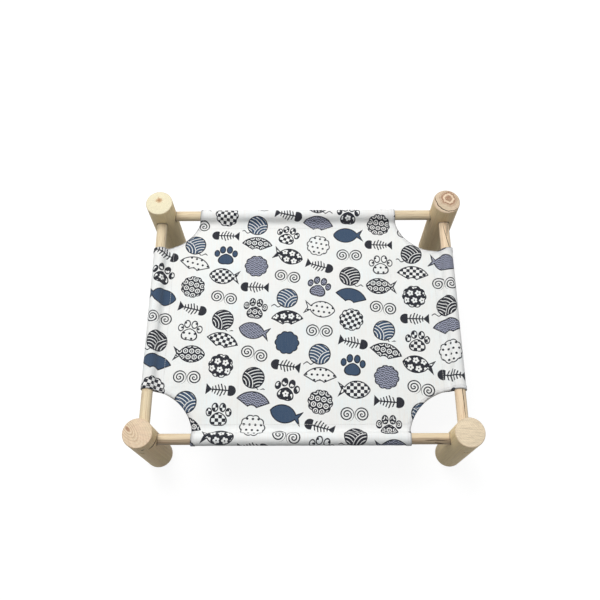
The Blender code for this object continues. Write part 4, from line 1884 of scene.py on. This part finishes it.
def add_lamp(power):
    """A square area lamp above the cot, that faces it."""
    lamp = bpy.data.lights.new("key", "AREA")
    lamp.shape = "SQUARE"
    lamp.size = LAMP_SIZE
    lamp.energy = power
    lamp.color = LAMP_COLOUR
    piece = bpy.data.objects.new("key", lamp)
    piece.location = LAMP_PLACE
    piece.rotation_euler = (Vector(LAMP_TARGET) - Vector(LAMP_PLACE)).to_track_quat("-Z", "Y").to_euler()
    bpy.context.scene.collection.objects.link(piece)


def add_camera(stage):
    """The photo's camera: yaw about the vertical, then tilt down, then roll."""
    camera = bpy.data.cameras.new("camera")
    camera.lens = stage.lens
    camera.sensor_width = SENSOR_WIDTH
    yaw = Matrix.Rotation(stage.yaw, 4, "Z")
    tilt = Matrix.Rotation(math.pi / 2 - stage.pitch, 4, "X")
    roll = Matrix.Rotation(-stage.roll, 4, "Z")
    seat = bpy.data.objects.new("camera", camera)
    seat.matrix_world = Matrix.Translation(stage.place) @ (yaw @ tilt @ roll)
    bpy.context.scene.collection.objects.link(seat)
    bpy.context.scene.camera = seat


class COT_OT_stage(bpy.types.Operator):
    """Set the floor, the sky, the lamp and the camera"""

    bl_idname = "cot.stage"
    bl_label = "Stage"
    bl_options = {"REGISTER", "UNDO"}

    def execute(self, context):
        stage = context.scene.cot.stage
        floor = make_floor(stage)
        make_world(stage)
        add_lamp(stage.key_power)
        add_camera(stage)
        context.scene.view_settings.view_transform = "Standard"
        return {"FINISHED"}


class COT_PT_panel(bpy.types.Panel):
    """The cot's settings and steps"""

    bl_idname = "COT_PT_panel"
    bl_label = "Cat cot"
    bl_space_type = "VIEW_3D"
    bl_region_type = "UI"
    bl_category = "Cot"

    def draw(self, context):
        cot = context.scene.cot
        for group in (cot.wood, cot.sling, cot.print, cot.stage):
            box = self.layout.box()
            for key in group.__annotations__:
                box.prop(group, key)
        self.layout.prop(cot, "facets")
        for step in STEPS:
            self.layout.operator(step.bl_idname)


STEPS = (COT_OT_posts, COT_OT_rails, COT_OT_screws, COT_OT_canvas, COT_OT_stage)
CLASSES = (CotWood, CotSling, CotPrint, CotStage, CotSettings, *STEPS, COT_PT_panel)


def register():
    for one in CLASSES:
        bpy.utils.register_class(one)
    bpy.types.Scene.cot = PointerProperty(type=CotSettings)


def unregister():
    del bpy.types.Scene.cot
    for one in reversed(CLASSES):
        bpy.utils.unregister_class(one)


def main():
    register()
    bpy.ops.cot.posts()
    bpy.ops.cot.rails()
    bpy.ops.cot.screws()
    bpy.ops.cot.canvas()
    bpy.ops.cot.stage()


if __name__ == "__main__":
    main()
